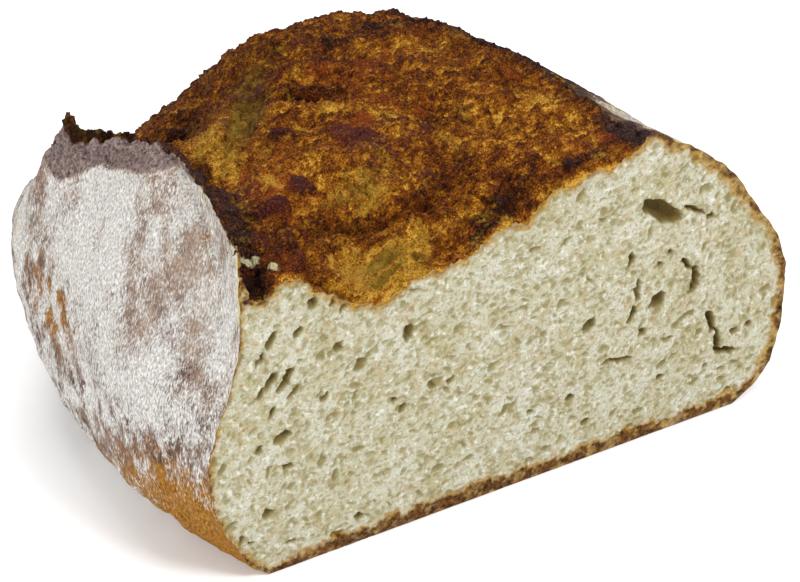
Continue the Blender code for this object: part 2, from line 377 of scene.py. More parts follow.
@dataclass(frozen=True)
class LoafForm:
    """The loaf's form before its fine relief, from the same named sizes as the solid.

    Runs change with the distance back from the cut. Heights are above the base, ear_in and rim_in are shares
    of the half width, and the sides' insets near the base follow toe and the toe curves.
    """

    length: float = 190.0
    toe: float = 17.5
    end_shift: float = -10.0
    end_start: float = 60.0
    left: Side = Side(121.5, 76.0, 108.5, 2.5)
    right: Side = Side(107.0, 24.0, 106.0, 2.1)
    bulge_left: Run = Run(((0, 45), (40, 46), (95, 48), (125, 56), (148, 57), (172, 46), (190, 46)))
    bulge_right: Run = Run(((0, 45), (100, 49), (190, 46)))
    toe_curve_left: Run = Run(((0, 2.5), (30, 3.2), (60, 4.4), (85, 4.0), (110, 2.8), (190, 2.5)))
    toe_curve_right: Run = Run(((0, 5.0), (190, 2.5)))
    wall_reach: Run = Run(((0, 0.60), (30, 0.85), (60, 1.0), (95, 1.0), (125, 0.95), (190, 1.0)))
    wall_round: Run = Run(((0, 0.0), (40, 0.45), (90, 0.65), (120, 0.9), (190, 1.0)))
    ear_in: Run = Run((
        (0, 0.894), (20, 0.81), (47, 0.76), (75, 0.775), (108, 0.845), (125, 0.80), (190, 0.70),
    ))
    ear_top: Run = Run((
        (0, 120), (20, 122.5), (45, 125), (60, 122), (75, 117.5), (90, 112), (103, 108),
        (109, 109), (113, 104), (125, 92), (150, 75), (175, 59), (190, 46),
    ))
    ear_swell: Run = Run((
        (0, 1.5), (62, 1.5), (90, 4.0), (103, 5.5), (109, 7.0), (113, 4.0), (125, 1.5), (190, 1.0),
    ))
    ear_lip: float = 0.14
    ear_lip_turn: Fade = Fade(0.0, 0.2)
    ear_curve: float = 2.9
    gap_across: Run = Run(((0, 8), (20, 10), (47, 12), (109, 12), (130, 10), (160, 8), (190, 0)))
    gap_deep: Run = Run((
        (0, 21), (8, 17), (20, 14), (47, 13), (75, 9), (95, 6), (109, 12), (122, 3), (140, 0), (190, 0),
    ))
    crown: Run = Run((
        (0, 104), (30, 111), (70, 116), (105, 116.5), (130, 111), (150, 100), (170, 82), (182, 66), (190, 46),
    ))
    crown_place: float = 0.65
    crown_left: float = 2.6
    crown_right: float = 2.2
    rim_in: Run = Run((
        (0, 0.425), (20, 0.42), (60, 0.46), (90, 0.45), (120, 0.40), (150, 0.32), (190, 0.25),
    ))
    rim_top: Run = Run((
        (0, 116.5), (20, 114), (60, 111), (90, 110.5), (120, 111), (150, 98), (170, 79), (190, 46),
    ))
    shoulder_drop: Run = Run(((0, 1.38), (15, 1.6), (50, 2.1), (120, 2.0), (190, 1.0)))
    shoulder_round: Run = Run(((0, 1.38), (15, 1.25), (50, 1.1), (190, 1.0)))
    sink: float = 0.4
    torn_craggy: float = 0.8
    wall_craggy: Fade = Fade(0.7, 0.3)
    ear_calm: float = 0.2
    shoulder_craggy: Fade = Fade(0.3, -0.3)
    swells: Spots = field(default_factory=lambda: {
        "knob at the gap": Spot(-81, 0, 8, 13, 0, 6.5),
        "sunk front edge": Spot(-46, -4, 24, 26, 0, -14.5),
        "sunk front middle": Spot(-18, 5, 13, 12, 0, -5.0),
        "raised front right": Spot(20, 8, 20, 14, 0, 3.0),
        "fall at the back left": Spot(-70, 130, 31, 30, 0, -34.0),
        "fall behind the left": Spot(-32, 158, 15, 24, 0, -6.0),
        "swell at the back": Spot(22, 148, 24, 16, 0, 2.5),
        "swell at the back left": Spot(-19, 125, 10, 16, 0, 5.5),
        "dip behind the crest": Spot(7, 119, 10, 12, 0, -2.5),
        "blister": Spot(-37, 42, 17, 15, 0, 8.0),
        "crease over the blister": Spot(-31, 77, 15, 4, -38, -2.4),
        "ledge over the crease": Spot(-22, 88, 22, 5, -38, 3.5),
        "long hollow": Spot(-51, 86, 5.5, 22, -35, -6.0),
        "ridge by the long hollow": Spot(-60, 84, 3.5, 20, -34, 3.0),
        "front hollow": Spot(-52, 9, 12, 5, 10, -3.0),
        "front ridge": Spot(4, 15, 26, 4, 12, 3.0),
        "middle dent": Spot(30, 52, 16, 8, 30, -2.5),
        "right dent": Spot(26, 92, 12, 14, 0, -2.0),
    })
    samples: Mapping[Stretch, int] = field(default_factory=lambda: {
        Stretch.LOW_LEFT: 34,
        Stretch.WALL: 184,
        Stretch.EAR: 60,
        Stretch.TOP: 292,
        Stretch.SHOULDER: 110,
        Stretch.LOW_RIGHT: 24,
    })
    low_crowding: float = 1.4
    fine_rows: int = 278
    fine_end: float = 150.0
    middle_rows: int = 22
    end_rows: int = 30
    end_crowding: float = 1.8

    def backs(self) -> Array:
        """Return the rows' distances back, one of them just where the flat base ends."""
        base_end = self.length - self.toe
        fine = np.linspace(0.0, self.fine_end, self.fine_rows)
        middle = np.linspace(self.fine_end, base_end, self.middle_rows)[1:]
        t = np.linspace(0.0, 1.0, self.end_rows)[1:]
        end = base_end + self.toe * (1.0 - (1.0 - t) ** self.end_crowding)
        return np.concatenate([fine, middle, end])

    def base_rows(self) -> int:
        """Return how many rows reach down to the flat base."""
        return self.fine_rows + self.middle_rows - 1

    def lower_side(self, back: float, side: Side, heights: tuple[float, float], curve: float,
                   count: int) -> Array:
        """Return one side's outline from the base up to the bulge.

        Args:
            back: The distance back from the cut face.
            side: The side of the plan.
            heights: The heights of the outline's lowest point and of its widest.
            curve: How full the outline is near the base.
            count: How many points there are.

        Returns:
            Distances out and heights, one row a point.
        """
        lowest, bulge = heights
        height = lowest + (bulge - lowest) * np.linspace(0.0, 1.0, count) ** self.low_crowding
        inset = self.toe * np.clip(1.0 - height / bulge, 0.0, 1.0) ** curve
        behind = self.length - back
        if behind < self.toe:
            inset = np.minimum(inset, behind)
            inset[0] = behind
        return np.stack([side.half_width(back, inset, self.length), height], axis=-1)

    def steps(self, stretch: Stretch) -> Array:
        """Return even steps over a stretch, from just past 0 to 1."""
        return np.linspace(0.0, 1.0, self.samples[stretch] + 1)[1:]

    def wall(self, at: SectionFrame) -> Array:
        """Return the floured wall's points, from the bulge up to the ear's crest."""
        turn = self.steps(Stretch.WALL)
        risen = np.sin(turn * math.pi / 2.0)
        height = at.left[1] + (at.crest[1] - at.left[1]) * risen
        risen = np.clip(risen / self.wall_reach.at(at.back), 0.0, 1.0)
        rounded = 1.0 - np.sqrt(np.clip(1.0 - risen ** 2, 0.0, 1.0))
        blend = self.wall_round.at(at.back)
        lean = ease(risen) * (1.0 - blend) + rounded * blend
        return lined(at.left[0] + (at.crest[0] - at.left[0]) * lean, height, self.wall_craggy.at(turn))

    def ear(self, at: SectionFrame) -> Array:
        """Return the points of the ear's inner side, from its crest down to the gap."""
        t = self.steps(Stretch.EAR)
        out = self.ear_lip * self.ear_lip_turn.at(t) + (1.0 - self.ear_lip) * t ** self.ear_curve
        swell = self.ear_swell.at(at.back) * -at.left[0] / self.left.wide
        swell = swell * np.sin(math.pi * np.minimum(1.0, t * 2.0))
        across = at.crest[0] + (at.gap[0] - at.crest[0]) * out
        height = at.crest[1] + (at.gap[1] - at.crest[1]) * ease(t) + swell
        return lined(across, height, 1.0 - self.ear_calm * t)

    def torn_top(self, at: SectionFrame) -> Array:
        """Return the torn top's points, from the gap to the right rim."""
        wide = at.rim[0] - at.gap[0]
        across = at.gap[0] + wide * self.steps(Stretch.TOP)
        crown = self.crown.at(at.back)
        middle = at.gap[0] + self.crown_place * wide
        left = np.clip((middle - across) / max(middle - at.gap[0], TINY), 0.0, 1.0)
        right = np.clip((across - middle) / max(at.rim[0] - middle, TINY), 0.0, 1.0)
        from_gap = at.gap[1] + (crown - at.gap[1]) * (1.0 - left ** self.crown_left)
        from_rim = at.rim[1] + (crown - at.rim[1]) * (1.0 - right ** self.crown_right)
        height = np.where(across < middle, from_gap, from_rim)
        height = height + spots_sum(self.swells, across, np.full_like(across, at.back))
        return lined(across, height, self.torn_craggy)

    def shoulder(self, at: SectionFrame) -> Array:
        """Return the right shoulder's points, from the rim of the tear down to the bulge."""
        t = self.steps(Stretch.SHOULDER)
        out = np.sin(t * math.pi / 2.0) ** self.shoulder_drop.at(at.back)
        fall = np.clip(np.cos(t * math.pi / 2.0), 0.0, 1.0) ** self.shoulder_round.at(at.back)
        across = at.rim[0] + (at.right[0] - at.rim[0]) * out
        height = at.right[1] + (at.rim[1] - at.right[1]) * fall
        return lined(across, height, self.torn_craggy * self.shoulder_craggy.at(t))

    def section(self, back: float) -> dict[Stretch, Array]:
        """Return one cross-section.

        Args:
            back: The distance back from the cut face.

        Returns:
            For each stretch, rows of place across, height and how craggy the crust is there.
        """
        wide = float(self.left.half_width(back, 0.0, self.length))
        right_wide = float(self.right.half_width(back, 0.0, self.length))
        left = (-wide, self.bulge_left.at(back))
        right = (right_wide, self.bulge_right.at(back))
        crest = (-wide * self.ear_in.at(back), self.ear_top.at(back))
        gap = (crest[0] + self.gap_across.at(back), crest[1] - self.gap_deep.at(back))
        rim = (right_wide * self.rim_in.at(back), self.rim_top.at(back))
        at = SectionFrame(back, left, crest, gap, rim, right)
        behind = self.length - back
        sunk = 1.0 - (behind / self.toe) ** self.sink if behind < self.toe else 0.0
        lowest = min(left[1], right[1]) * sunk
        low_left = self.lower_side(back, self.left, (lowest, left[1]), self.toe_curve_left.at(back),
                                   self.samples[Stretch.LOW_LEFT])
        low_right = self.lower_side(back, self.right, (lowest, right[1]), self.toe_curve_right.at(back),
                                    self.samples[Stretch.LOW_RIGHT] + 1)[::-1][1:]
        return {
            Stretch.LOW_LEFT: lined(-low_left[:, 0], low_left[:, 1], 0.0),
            Stretch.WALL: self.wall(at),
            Stretch.EAR: self.ear(at),
            Stretch.TOP: self.torn_top(at),
            Stretch.SHOULDER: self.shoulder(at),
            Stretch.LOW_RIGHT: lined(low_right[:, 0], low_right[:, 1], 0.0),
        }

    def shift(self, back: Array) -> Array:
        """Return how far the rounded end leans to one side at distances back."""
        return self.end_shift * ease((back - self.end_start) / (self.length - self.end_start))


@dataclass
class CrustGrid:
    """All crust points, one row a cross-section and one column a line along the loaf.

    Attributes:
        place: Points as across, back and height.
        across: Places across before the end's lean.
        back: Distances back.
        craggy: How craggy the crust is, from 0 to 1.
        columns: The columns of each stretch.
        smooth: The points before any fine relief.
    """

    place: Array
    across: Array
    back: Array
    craggy: Array
    columns: dict[Stretch, slice]
    smooth: Array

    @classmethod
    def of(cls, form: LoafForm) -> "CrustGrid":
        """Return the grid of a form, before any fine relief."""
        backs = form.backs()
        rows = []
        columns: dict[Stretch, slice] = {}
        for back in backs:
            parts = form.section(float(back))
            start = 0
            for stretch in Stretch:
                columns[stretch] = slice(start, start + len(parts[stretch]))
                start += len(parts[stretch])
            rows.append(np.concatenate([parts[stretch] for stretch in Stretch]))
        table = np.array(rows)
        back = np.repeat(backs[:, None], table.shape[1], axis=1)
        place = np.stack([table[..., 0] + form.shift(back), back, table[..., 1]], axis=-1)
        return cls(place, table[..., 0], back, table[..., 2], columns, place.copy())

    def normals(self) -> Array:
        """Return unit normals that point out of the loaf, from the points' own slopes."""
        normal = np.cross(np.gradient(self.place, axis=1), np.gradient(self.place, axis=0))
        size = np.linalg.norm(normal, axis=-1, keepdims=True)
        normal = normal / np.maximum(size, TINY)
        normal[size[..., 0] < TINY] = (0.0, 1.0, 0.0)
        return normal

    def only(self, *stretches: Stretch) -> Array:
        """Return a mask that is 1 on the named stretches and 0 elsewhere."""
        mask = np.zeros(self.place.shape[:2])
        for stretch in stretches:
            mask[:, self.columns[stretch]] = 1.0
        return mask

    def edge(self, stretch: Stretch) -> Array:
        """Return the points at a stretch's last column, one a row, ready to compare with the whole grid."""
        return self.place[:, self.columns[stretch].stop - 1][:, None, :]


# Fine relief and stains


@dataclass(frozen=True)
class Membranes:
    """The torn bubble walls near the cut: thin strands with smooth hollows between them.

    The widths of strand and hollow are shares of size, which is how far apart the strands are.
    """

    place: Spot = Spot(-46, 8, 24, 9, 5, 1.0)
    size: tuple[float, float, float] = (11.0, 6.0, 9.0)
    strand: float = 0.14
    hollow: float = 0.4
    depth: float = 2.8
    seed: int = 25

    def weights(self, grid: CrustGrid) -> tuple[Array, Array]:
        """Return how much of a strand and of a hollow each grid point is."""
        nearest, second = bubbles(grid.smooth, self.size, self.seed)
        gap = second - nearest
        held = self.place.weight(grid.across, grid.back)
        return held * (1.0 - ease(gap / self.strand)), held * ease(gap / self.hollow)


@dataclass(frozen=True)
class Cracks:
    """The fine net of cracks and folds that opened as the torn crust dried.

    A crack's half width is a share of size, which is how far apart the cracks are.
    """

    size: tuple[float, float, float] = (11.0, 5.5, 8.0)
    bends: tuple[Noise, ...] = tuple(Noise(4.0, 1.6, 1, seed) for seed in (62, 63, 64))
    half: float = 0.14
    shown: Noise = Noise(16.0, 1.6, 1, 65)
    middle: float = 0.5
    seed: int = 61

    def weights(self, grid: CrustGrid) -> Array:
        """Return how much of a crack each grid point is."""
        bent = grid.smooth + np.stack([bend.at(grid.smooth) for bend in self.bends], axis=-1)
        nearest, second = bubbles(bent, self.size, self.seed)
        return ease(self.middle + self.shown.at(grid.smooth)) * (1.0 - ease((second - nearest) / self.half))


@dataclass(frozen=True)
class CrustRelief:
    """The crust's fine relief: crags, ridges, tears and cracks, as heights along the surface normals.

    Torn marks and calm places lie by place across and distance back, wall marks by distance back and height.
    """

    crags: tuple[Noise, ...] = (Noise(13.0, 2.4, 1, 11), Noise(8.0, 2.0, 1, 12))
    rugged: tuple[Noise, ...] = (Noise(5.0, 1.1, 3, 13), Ridges(3.4, 1.5, 1, 17), Ridges(1.53, 0.75, 1, 18))
    grain: tuple[Noise | Granules, ...] = (Noise(1.5, 0.45, 2, 19), Granules(2.0, 0.6, 21))
    strands: Ridges = Ridges((15.0, 2.2, 6.0), 0.8, 1, 23, 0.35)
    strands_cut: Band = Band(0.0, 26.0)
    strands_middle: Band = Band(20.0, 40.0)
    membranes: Membranes = Membranes()
    cracks: Cracks = Cracks()
    crack_depth: float = 1.3
    side_lumps: tuple[Noise, ...] = (Noise(20.0, 0.9, 1, 31), Noise(5.0, 0.42, 3, 33))
    low_lumps: Noise = Noise(4.5, 0.6, 3, 37)
    low: Fade = Fade(62.0, -14.0)
    margin_granules: Granules = Granules(2.0, 0.6, 41)
    margin: Fade = Fade(-9.0, 5.0)
    margin_back: Fade = Fade(42.0, 14.0)
    jags: Noise = Noise(3.2, 1.2, 2, 51)
    jag_reach: Band = Band(0.0, 3.2)
    jag_end: Fade = Fade(140.0, -30.0)
    tips: tuple[tuple[Band, float], ...] = (
        (Band(109.5, 1.2), 2.6), (Band(92.0, 1.2), 2.2), (Band(52.0, 2.0), 1.2),
    )
    crag_end: Fade = Fade(0.0, 40.0)
    fine_end: Fade = Fade(0.0, 8.0)
    cut_start: Fade = Fade(0.0, 5.0)
    base_start: Fade = Fade(0.0, 6.0)
    calm_most: float = 0.85
    calm_grain: float = 0.6
    calm: Spots = field(default_factory=lambda: {
        "blister": Spot(-38, 36, 17, 12, 0, 0.55),
        "olive hollow": Spot(-51, 86, 5, 20, -35, 0.7),
        "golden slope": Spot(-72, 62, 6, 16, -10, 0.4),
        "pocket": Spot(-91, 4, 9, 22, 0, 0.9),
    })
    torn_marks: Spots = field(default_factory=lambda: {
        "crease over the blister": Spot(-31, 77, 10, 1.5, -38, -4.6),
        "lip over the crease": Spot(-29.5, 81, 14, 1.5, -38, 1.6),
        "crease under the blister, left": Spot(-51, 20, 12, 1.3, -10, -4.2),
        "crease under the blister, right": Spot(-24, 19.5, 16, 1.2, 4, -3.6),
        "crease line": Spot(-8, 25, 14, 1.0, 12, -1.8),
        "ledge line": Spot(-9, 86, 14, 1.6, -20, 1.6),
        "olive ridge": Spot(-59, 84, 1.5, 15, -34, 1.6),
        "rib in the hollow": Spot(-50, 92, 1.0, 9, -30, 1.4),
        "burnt knob": Spot(-59, 35, 3.4, 3.2, 0, 4.2),
        "second knob": Spot(-69, 29, 4.0, 2.8, 0, 3.6),
        "red knob": Spot(-50, 64, 4.0, 3.0, 20, 1.8),
        "hollow at the cut": Spot(-66, 4.0, 6.5, 2.6, -8, -5.0),
        "lip over the hollow": Spot(-64, 8.2, 8, 1.5, -8, 1.5),
        "first membrane hollow": Spot(-54, 11, 6.0, 3.2, 20, -2.4),
        "second membrane hollow": Spot(-43, 9, 6.5, 3.6, -10, -2.2),
        "third membrane hollow": Spot(-34, 6, 4.5, 2.8, 0, -1.8),
        "first strand": Spot(-48, 14, 12, 0.9, 25, 1.5),
        "second strand": Spot(-39, 8, 8, 0.8, 62, 1.3),
        "third strand": Spot(-30, 10, 10, 0.9, -25, 1.3),
        "flake by the pocket": Spot(-86, 14, 2.8, 1.5, -25, 2.0),
        "second flake by the pocket": Spot(-82.5, 6.5, 1.6, 2.2, 0, 2.0),
    })
    wall_marks: Spots = field(default_factory=lambda: {
        "crack below the flour": Spot(37.6, 46, 7.0, 1.0, 62, -2.2),
        "second crack": Spot(21.5, 44.5, 6.0, 1.2, 14, -2.0),
        "groove in the flour": Spot(49, 100, 1.0, 9, 12, -0.6),
        "lump under the flour": Spot(62, 84, 14, 9, 0, 1.2),
        "dent at the far side": Spot(95, 58, 8, 5, 0, -1.5),
    })

    def crest_rise(self, grid: CrustGrid) -> Array:
        """Return how much higher the ear's ragged crest stands than its smooth line."""
        crest = grid.edge(Stretch.WALL)
        far = np.linalg.norm((grid.place - crest)[..., (0, 2)], axis=-1)
        line = np.stack([np.zeros_like(grid.back), grid.back, np.zeros_like(grid.back)], axis=-1)
        rise = self.jags.at(line) + sum(height * tip.at(grid.back) for tip, height in self.tips)
        return rise * self.jag_reach.at(far) * self.jag_end.at(grid.back)

    def torn_heights(self, grid: CrustGrid) -> Array:
        """Return the relief of the torn crust, one height a point."""
        calm = np.clip(spots_sum(self.calm, grid.across, grid.back), 0.0, self.calm_most)
        plain = np.clip(self.strands_cut.at(grid.back) + self.strands_middle.at(grid.across), 0.0, 1.0)
        rough = heaped(self.rugged, grid.place) + self.strands.at(grid.place) * plain
        height = rough * (1.0 - calm) + heaped(self.grain, grid.place) * (1.0 - self.calm_grain * calm)
        height = height - self.crack_depth * self.cracks.weights(grid)
        height = height - self.membranes.depth * self.membranes.weights(grid)[1]
        return height + spots_sum(self.torn_marks, grid.across, grid.back)

    def side_heights(self, grid: CrustGrid) -> Array:
        """Return the relief of the floured sides, one height a point."""
        place = grid.place
        wall = blurred(grid.only(Stretch.LOW_LEFT, Stretch.WALL), 1)
        above = place[..., 2] - grid.edge(Stretch.WALL)[..., 2]
        margin = self.margin.at(above) * self.margin_back.at(grid.back)
        coarse = self.low_lumps.at(place) * np.clip(self.low.at(place[..., 2]) + margin, 0.0, 1.0)
        height = heaped(self.side_lumps, place) + coarse + self.margin_granules.at(place) * margin
        return height + wall * spots_sum(self.wall_marks, grid.back, place[..., 2])

    def heights(self, grid: CrustGrid) -> Array:
        """Return the fine relief along the normals, one height a point."""
        torn = blurred(grid.only(Stretch.EAR, Stretch.TOP), 1)
        return torn * self.torn_heights(grid) + (1.0 - torn) * self.side_heights(grid)

    def lay_on(self, grid: CrustGrid, form: LoafForm) -> Array:
        """Move the grid's points by the relief.

        Args:
            grid: The grid, whose points are moved.
            form: The form, for its length.

        Returns:
            The fine heights, for the stains.
        """
        behind = form.length - grid.back
        heights = self.heights(grid)
        rise = self.crest_rise(grid) + heaped(self.crags, grid.place) * grid.craggy * self.crag_end.at(behind)
        push = grid.normals() * (heights * self.fine_end.at(behind))[..., None]
        push[..., 1] = push[..., 1] * self.cut_start.at(grid.back)
        low = grid.only(Stretch.LOW_LEFT, Stretch.LOW_RIGHT)
        held = 1.0 - low * (1.0 - self.base_start.at(grid.place[..., 2]))
        grid.place = grid.place + push * held[..., None]
        grid.place[..., 2] = np.maximum(grid.place[..., 2] + rise, 0.0)
        return heights


class Paint(Enum):
    """The stains, dustings and painted shade that a mesh carries from point to point, for its finish to read.
    """

    # How browned the crust is, with painted shade in its creases, cracks, hollows and the pocket.
    BAKE = "bake"
    WARM = "warm"
    OLIVE = "olive"
    ASH = "ash"
    PLUM = "plum"
    RED = "red"
    GOLD = "gold"
    FLOUR = "flour"
    CREAM = "cream"
    # Painted shade in the crumb's bubbles: the deeper, the darker.
    PORE = "pore"
    RIM_DARK = "rim_dark"
    RIM_GOLD = "rim_gold"


Paints = dict[Paint, Array]


class Cause(Enum):
    """What makes a stain of the crust stronger or weaker from point to point."""

    PATCHES = "wide random patches"
    MOTTLE = "fine mottling"
    DRIFT = "drift between red and gold"
    RAISED = "relief above its surroundings"
    STRAND = "torn strand"
    HOLLOW = "hollow between strands"
    # Painted shade in the fine cracks, which darkens the bake there.
    CRACK = "fine crack"
    CHAR = "charred edge"
    INNER = "far inner side of the ear"
    FAR = "far part of the torn top"
    CUT = "edge at the cut"


@dataclass
class CrustLie:
    """What the stains are worked out from, with one value a grid point.

    Attributes:
        grid: The grid with its relief on.
        torn: 1 on the torn crust.
        wall: 1 on the floured left wall.
        side: 1 on the right shoulder.
        below: How far the point is below the ear's crest.
        down: How far it is below the right rim, as a share of the rim's height.
        rim_char: How charred the right rim is.
        margin: 1 on the bare band along the ear's crest.
        browned: 1 on the far part of the shoulder.
        causes: Each cause's own values.
    """

    grid: CrustGrid
    torn: Array
    wall: Array
    side: Array
    below: Array
    down: Array
    rim_char: Array
    margin: Array
    browned: Array
    causes: dict[Cause, Array]

    @property
    def patches(self) -> Array:
        """Return the wide random patches."""
        return self.causes[Cause.PATCHES]

    @property
    def height(self) -> Array:
        """Return the points' heights."""
        return self.grid.place[..., 2]


@dataclass(frozen=True)
class Mixture:
    """How strong a stain is: its level everywhere, and how much each cause adds to it."""

    level: float
    causes: Mapping[Cause, float]

    def at(self, lie: CrustLie) -> Array:
        """Return the stain, one value a grid point."""
        return self.level + sum(share * lie.causes[cause] for cause, share in self.causes.items())


@dataclass(frozen=True)
class CrustStains:
    """Where the crust is pale, dark, olive, ashen or floured, and where painted shade darkens it.

    The torn crust's named stains lie by place across and distance back, the others by distance back and
    height.
    """

    patches: Noise = Noise(10.0, 1.0, 3, 300)
    mottle: Noise = Noise((3.4, 1.7, 2.4), 1.0, 2, 305)
    drift: Noise = Noise(6.0, 1.0, 3, 331)
    peak: float = 0.6
    blur: int = 5
    turn: Fade = Fade(-30.0, 60.0)
    membranes: Membranes = Membranes()
    cracks: Cracks = Cracks()
    mixtures: Mapping[Paint, Mixture] = field(default_factory=lambda: {
        # In the bake, the fine cracks darken as painted shade.
        Paint.BAKE: Mixture(0.59, {
            Cause.PATCHES: 0.09, Cause.MOTTLE: 0.15, Cause.RAISED: -0.19, Cause.STRAND: 0.45,
            Cause.CHAR: -0.45, Cause.FAR: -0.07, Cause.CRACK: -0.32, Cause.CUT: 0.30, Cause.INNER: -0.36,
        }),
        Paint.OLIVE: Mixture(0.0, {
            Cause.HOLLOW: 0.5, Cause.STRAND: -0.6, Cause.INNER: 0.2, Cause.RAISED: -0.15, Cause.PATCHES: 0.1,
        }),
        Paint.ASH: Mixture(0.0, {Cause.CHAR: 0.8, Cause.PATCHES: 0.14, Cause.RAISED: 0.16}),
        Paint.PLUM: Mixture(0.08, {Cause.PATCHES: 0.30, Cause.RAISED: 0.25}),
        Paint.RED: Mixture(0.12, {Cause.DRIFT: 0.55}),
        Paint.GOLD: Mixture(0.02, {Cause.DRIFT: -0.55, Cause.STRAND: 0.6}),
    })
    plain: Mixture = field(default_factory=lambda: Mixture(0.5, {
        Cause.PATCHES: 0.14, Cause.MOTTLE: 0.06, Cause.RAISED: -0.08,
    }))
    upper_wall: Fade = Fade(62.0, 20.0)
    upper_paler: float = 0.18
    rim_darker: float = 0.45
    browned_darker: float = 0.34
    inner_back: Fade = Fade(64.0, 16.0)
    inner_clear: float = 0.8
    far_back: Fade = Fade(84.0, 30.0)
    cut_edge: Band = Band(0.0, 1.6)
    cut_spared: Spot = Spot(-92, 0, 6, 20, 0, 1.0)
    cut_mottle: float = 0.67
    rim_edge: Band = Band(0.0, 4.5)
    ear_edge: Band = Band(0.0, 3.0)
    margin_edge: Fade = Fade(-1.5, 3.0)
    margin_back: Fade = Fade(4.0, 10.0)
    margin_drift: float = 2.0
    margin_ash: float = 0.9
    side_ash: float = 0.5
    browned_back: Fade = Fade(34.0, 22.0)
    browned_drift: float = 14.0
    browned_down: Fade = Fade(0.06, 0.14)
    browned_wander: float = 0.12
    bakes_and_shade: Spots = field(default_factory=lambda: {
        # Painted shade: the four crease spots below darken the creases.
        "crease over the blister": Spot(-31, 77, 10, 1.9, -38, -1.0),
        "crease under the blister, left": Spot(-51, 20, 12, 1.4, -10, -0.45),
        "crease under the blister, right": Spot(-24, 19.5, 16, 1.3, 4, -0.45),
        "crease line": Spot(-8, 25, 15, 1.3, 12, -0.35),
        "ledge over the blister": Spot(-12, 86, 16, 3.0, -22, -0.28),
        "dark lip over the crease": Spot(-29, 82.5, 15, 2.2, -38, -0.15),
        # Painted shade on the dark side of the long hollow.
        "dark side of the hollow": Spot(-46.5, 85, 2.0, 17, -35, -0.36),
        "core of the purple patch": Spot(-35, 43, 6, 5, -20, -0.12),
        "orange flake": Spot(-60.5, 57, 2.2, 8, -15, 0.2),
        "foot of the blister": Spot(-40, 26, 18, 4.5, 0, 0.16),
        "between ear and knobs": Spot(-72, 28, 9, 26, -6, -0.12),
        "burnt back edge": Spot(-49, 130, 5, 10, 0, -0.3),
        "inside of the ear": Spot(-93, 106, 9, 14, 0, -0.2),
        "dark far crest": Spot(10, 112, 20, 9, 0, -0.3),
        "dull far crest": Spot(-20, 112, 26, 16, 0, -0.04),
        "gold below the crest": Spot(10, 95, 9, 4, 0, 0.32),
        "gold at the rim": Spot(33, 44, 5, 13, 8, 0.24),
        "gold by the ear": Spot(-72, 62, 7, 20, -14, 0.34),
        "gold beside the hollow": Spot(-62, 86, 4, 18, -34, 0.2),
        "gold under the crease": Spot(-32, 68, 12, 3, -40, 0.22),
        "dark streak at the cut": Spot(-7, 6, 17, 3.6, 25, -0.42),
        "dark streak further right": Spot(24, 7, 13, 3.2, 8, -0.42),
        "dark end of the rim": Spot(42.5, 11, 4, 14, 0, -0.45),
        "burnt knob": Spot(-59, 35, 4, 4, 0, -0.34),
        "second knob": Spot(-69, 29, 4.5, 3.4, 0, -0.3),
        "red knob": Spot(-50, 64, 4.5, 3.4, 20, -0.22),
        "yellow spot by the knob": Spot(-66.5, 41, 2.2, 4.5, 25, 0.42),
        "yellow spot by the crease": Spot(-44, 64, 2.4, 5, 20, 0.34),
        "pale membranes": Spot(-46, 9, 19, 6, 5, 0.3),
        # Painted shade in the hollow at the cut.
        "hollow at the cut": Spot(-66, 3.6, 6, 2.4, -8, -0.62),
        "gold lip over the hollow": Spot(-64, 8.5, 8, 1.6, -8, 0.25),
        # Painted shade in the pocket at the front of the gap.
        "pocket": Spot(-90, 2, 8, 17, 0, -0.36),
    })
    olives: Spots = field(default_factory=lambda: {
        "long hollow": Spot(-49, 89, 7, 29, -34, 1.25),
        "blister's foot": Spot(-44, 27, 17, 5, 0, 0.75),
        "gold by the ear": Spot(-70, 62, 7, 18, -14, 0.3),
        "first membrane hollow": Spot(-54, 11, 6, 3.2, 20, 0.35),
        "second membrane hollow": Spot(-42, 9, 7, 3.6, -10, 0.4),
        "third membrane hollow": Spot(-33, 7, 6, 3, 0, 0.4),
        "far crest": Spot(-16, 116, 30, 14, 0, 0.35),
        "inside of the ear": Spot(-93, 106, 9, 16, 0, 0.5),
        "behind the ear": Spot(-80, 96, 7, 14, -20, 0.35),
    })
    ashes: Spots = field(default_factory=lambda: {
        "burnt knob": Spot(-59, 35, 4, 4, 0, 0.4),
        "second knob": Spot(-69, 29, 4.5, 3.4, 0, 0.25),
        "streak at the cut": Spot(-7, 7, 15, 3, 25, 0.5),
        "streak further right": Spot(24, 8, 12, 3, 8, 0.5),
        "end of the rim": Spot(42.5, 9, 4, 12, 0, 0.8),
        "far crest": Spot(14, 112, 18, 8, 0, 0.45),
    })
    plums: Spots = field(default_factory=lambda: {
        "patch on the blister": Spot(-35.5, 43, 9, 7.5, -20, 1.25),
        "patch by the blister": Spot(-12, 42, 7, 12, 10, 0.5),
        "burnt knob": Spot(-59, 35, 4, 4, 0, 0.7),
        "second knob": Spot(-69, 29, 4.5, 3.4, 0, 0.7),
        "red knob": Spot(-50, 64, 4.5, 3.4, 20, 0.8),
        "above the hollow": Spot(-42, 104, 12, 8, -20, 0.5),
        "right of the ledge": Spot(6, 70, 14, 5, -25, 0.4),
        "behind the ear": Spot(-76, 34, 8, 22, -6, 0.5),
        "front of the knobs": Spot(-70, 14, 12, 8, 0, 0.45),
    })
    reds: Spots = field(default_factory=lambda: {
        "round the knobs": Spot(-62, 44, 10, 14, 0, 0.5),
        "by the crease": Spot(-30, 88, 18, 5, -38, 0.45),
        "top of the blister": Spot(-26, 56, 12, 9, -20, 0.45),
        "right of the blister": Spot(-12, 58, 10, 14, 0, 0.35),
        "under the dark streak": Spot(28, 12, 12, 4, 12, 0.6),
        "behind the ear": Spot(-70, 34, 7, 18, -6, 0.4),
        "middle of the back": Spot(0, 84, 18, 8, -20, 0.3),
    })
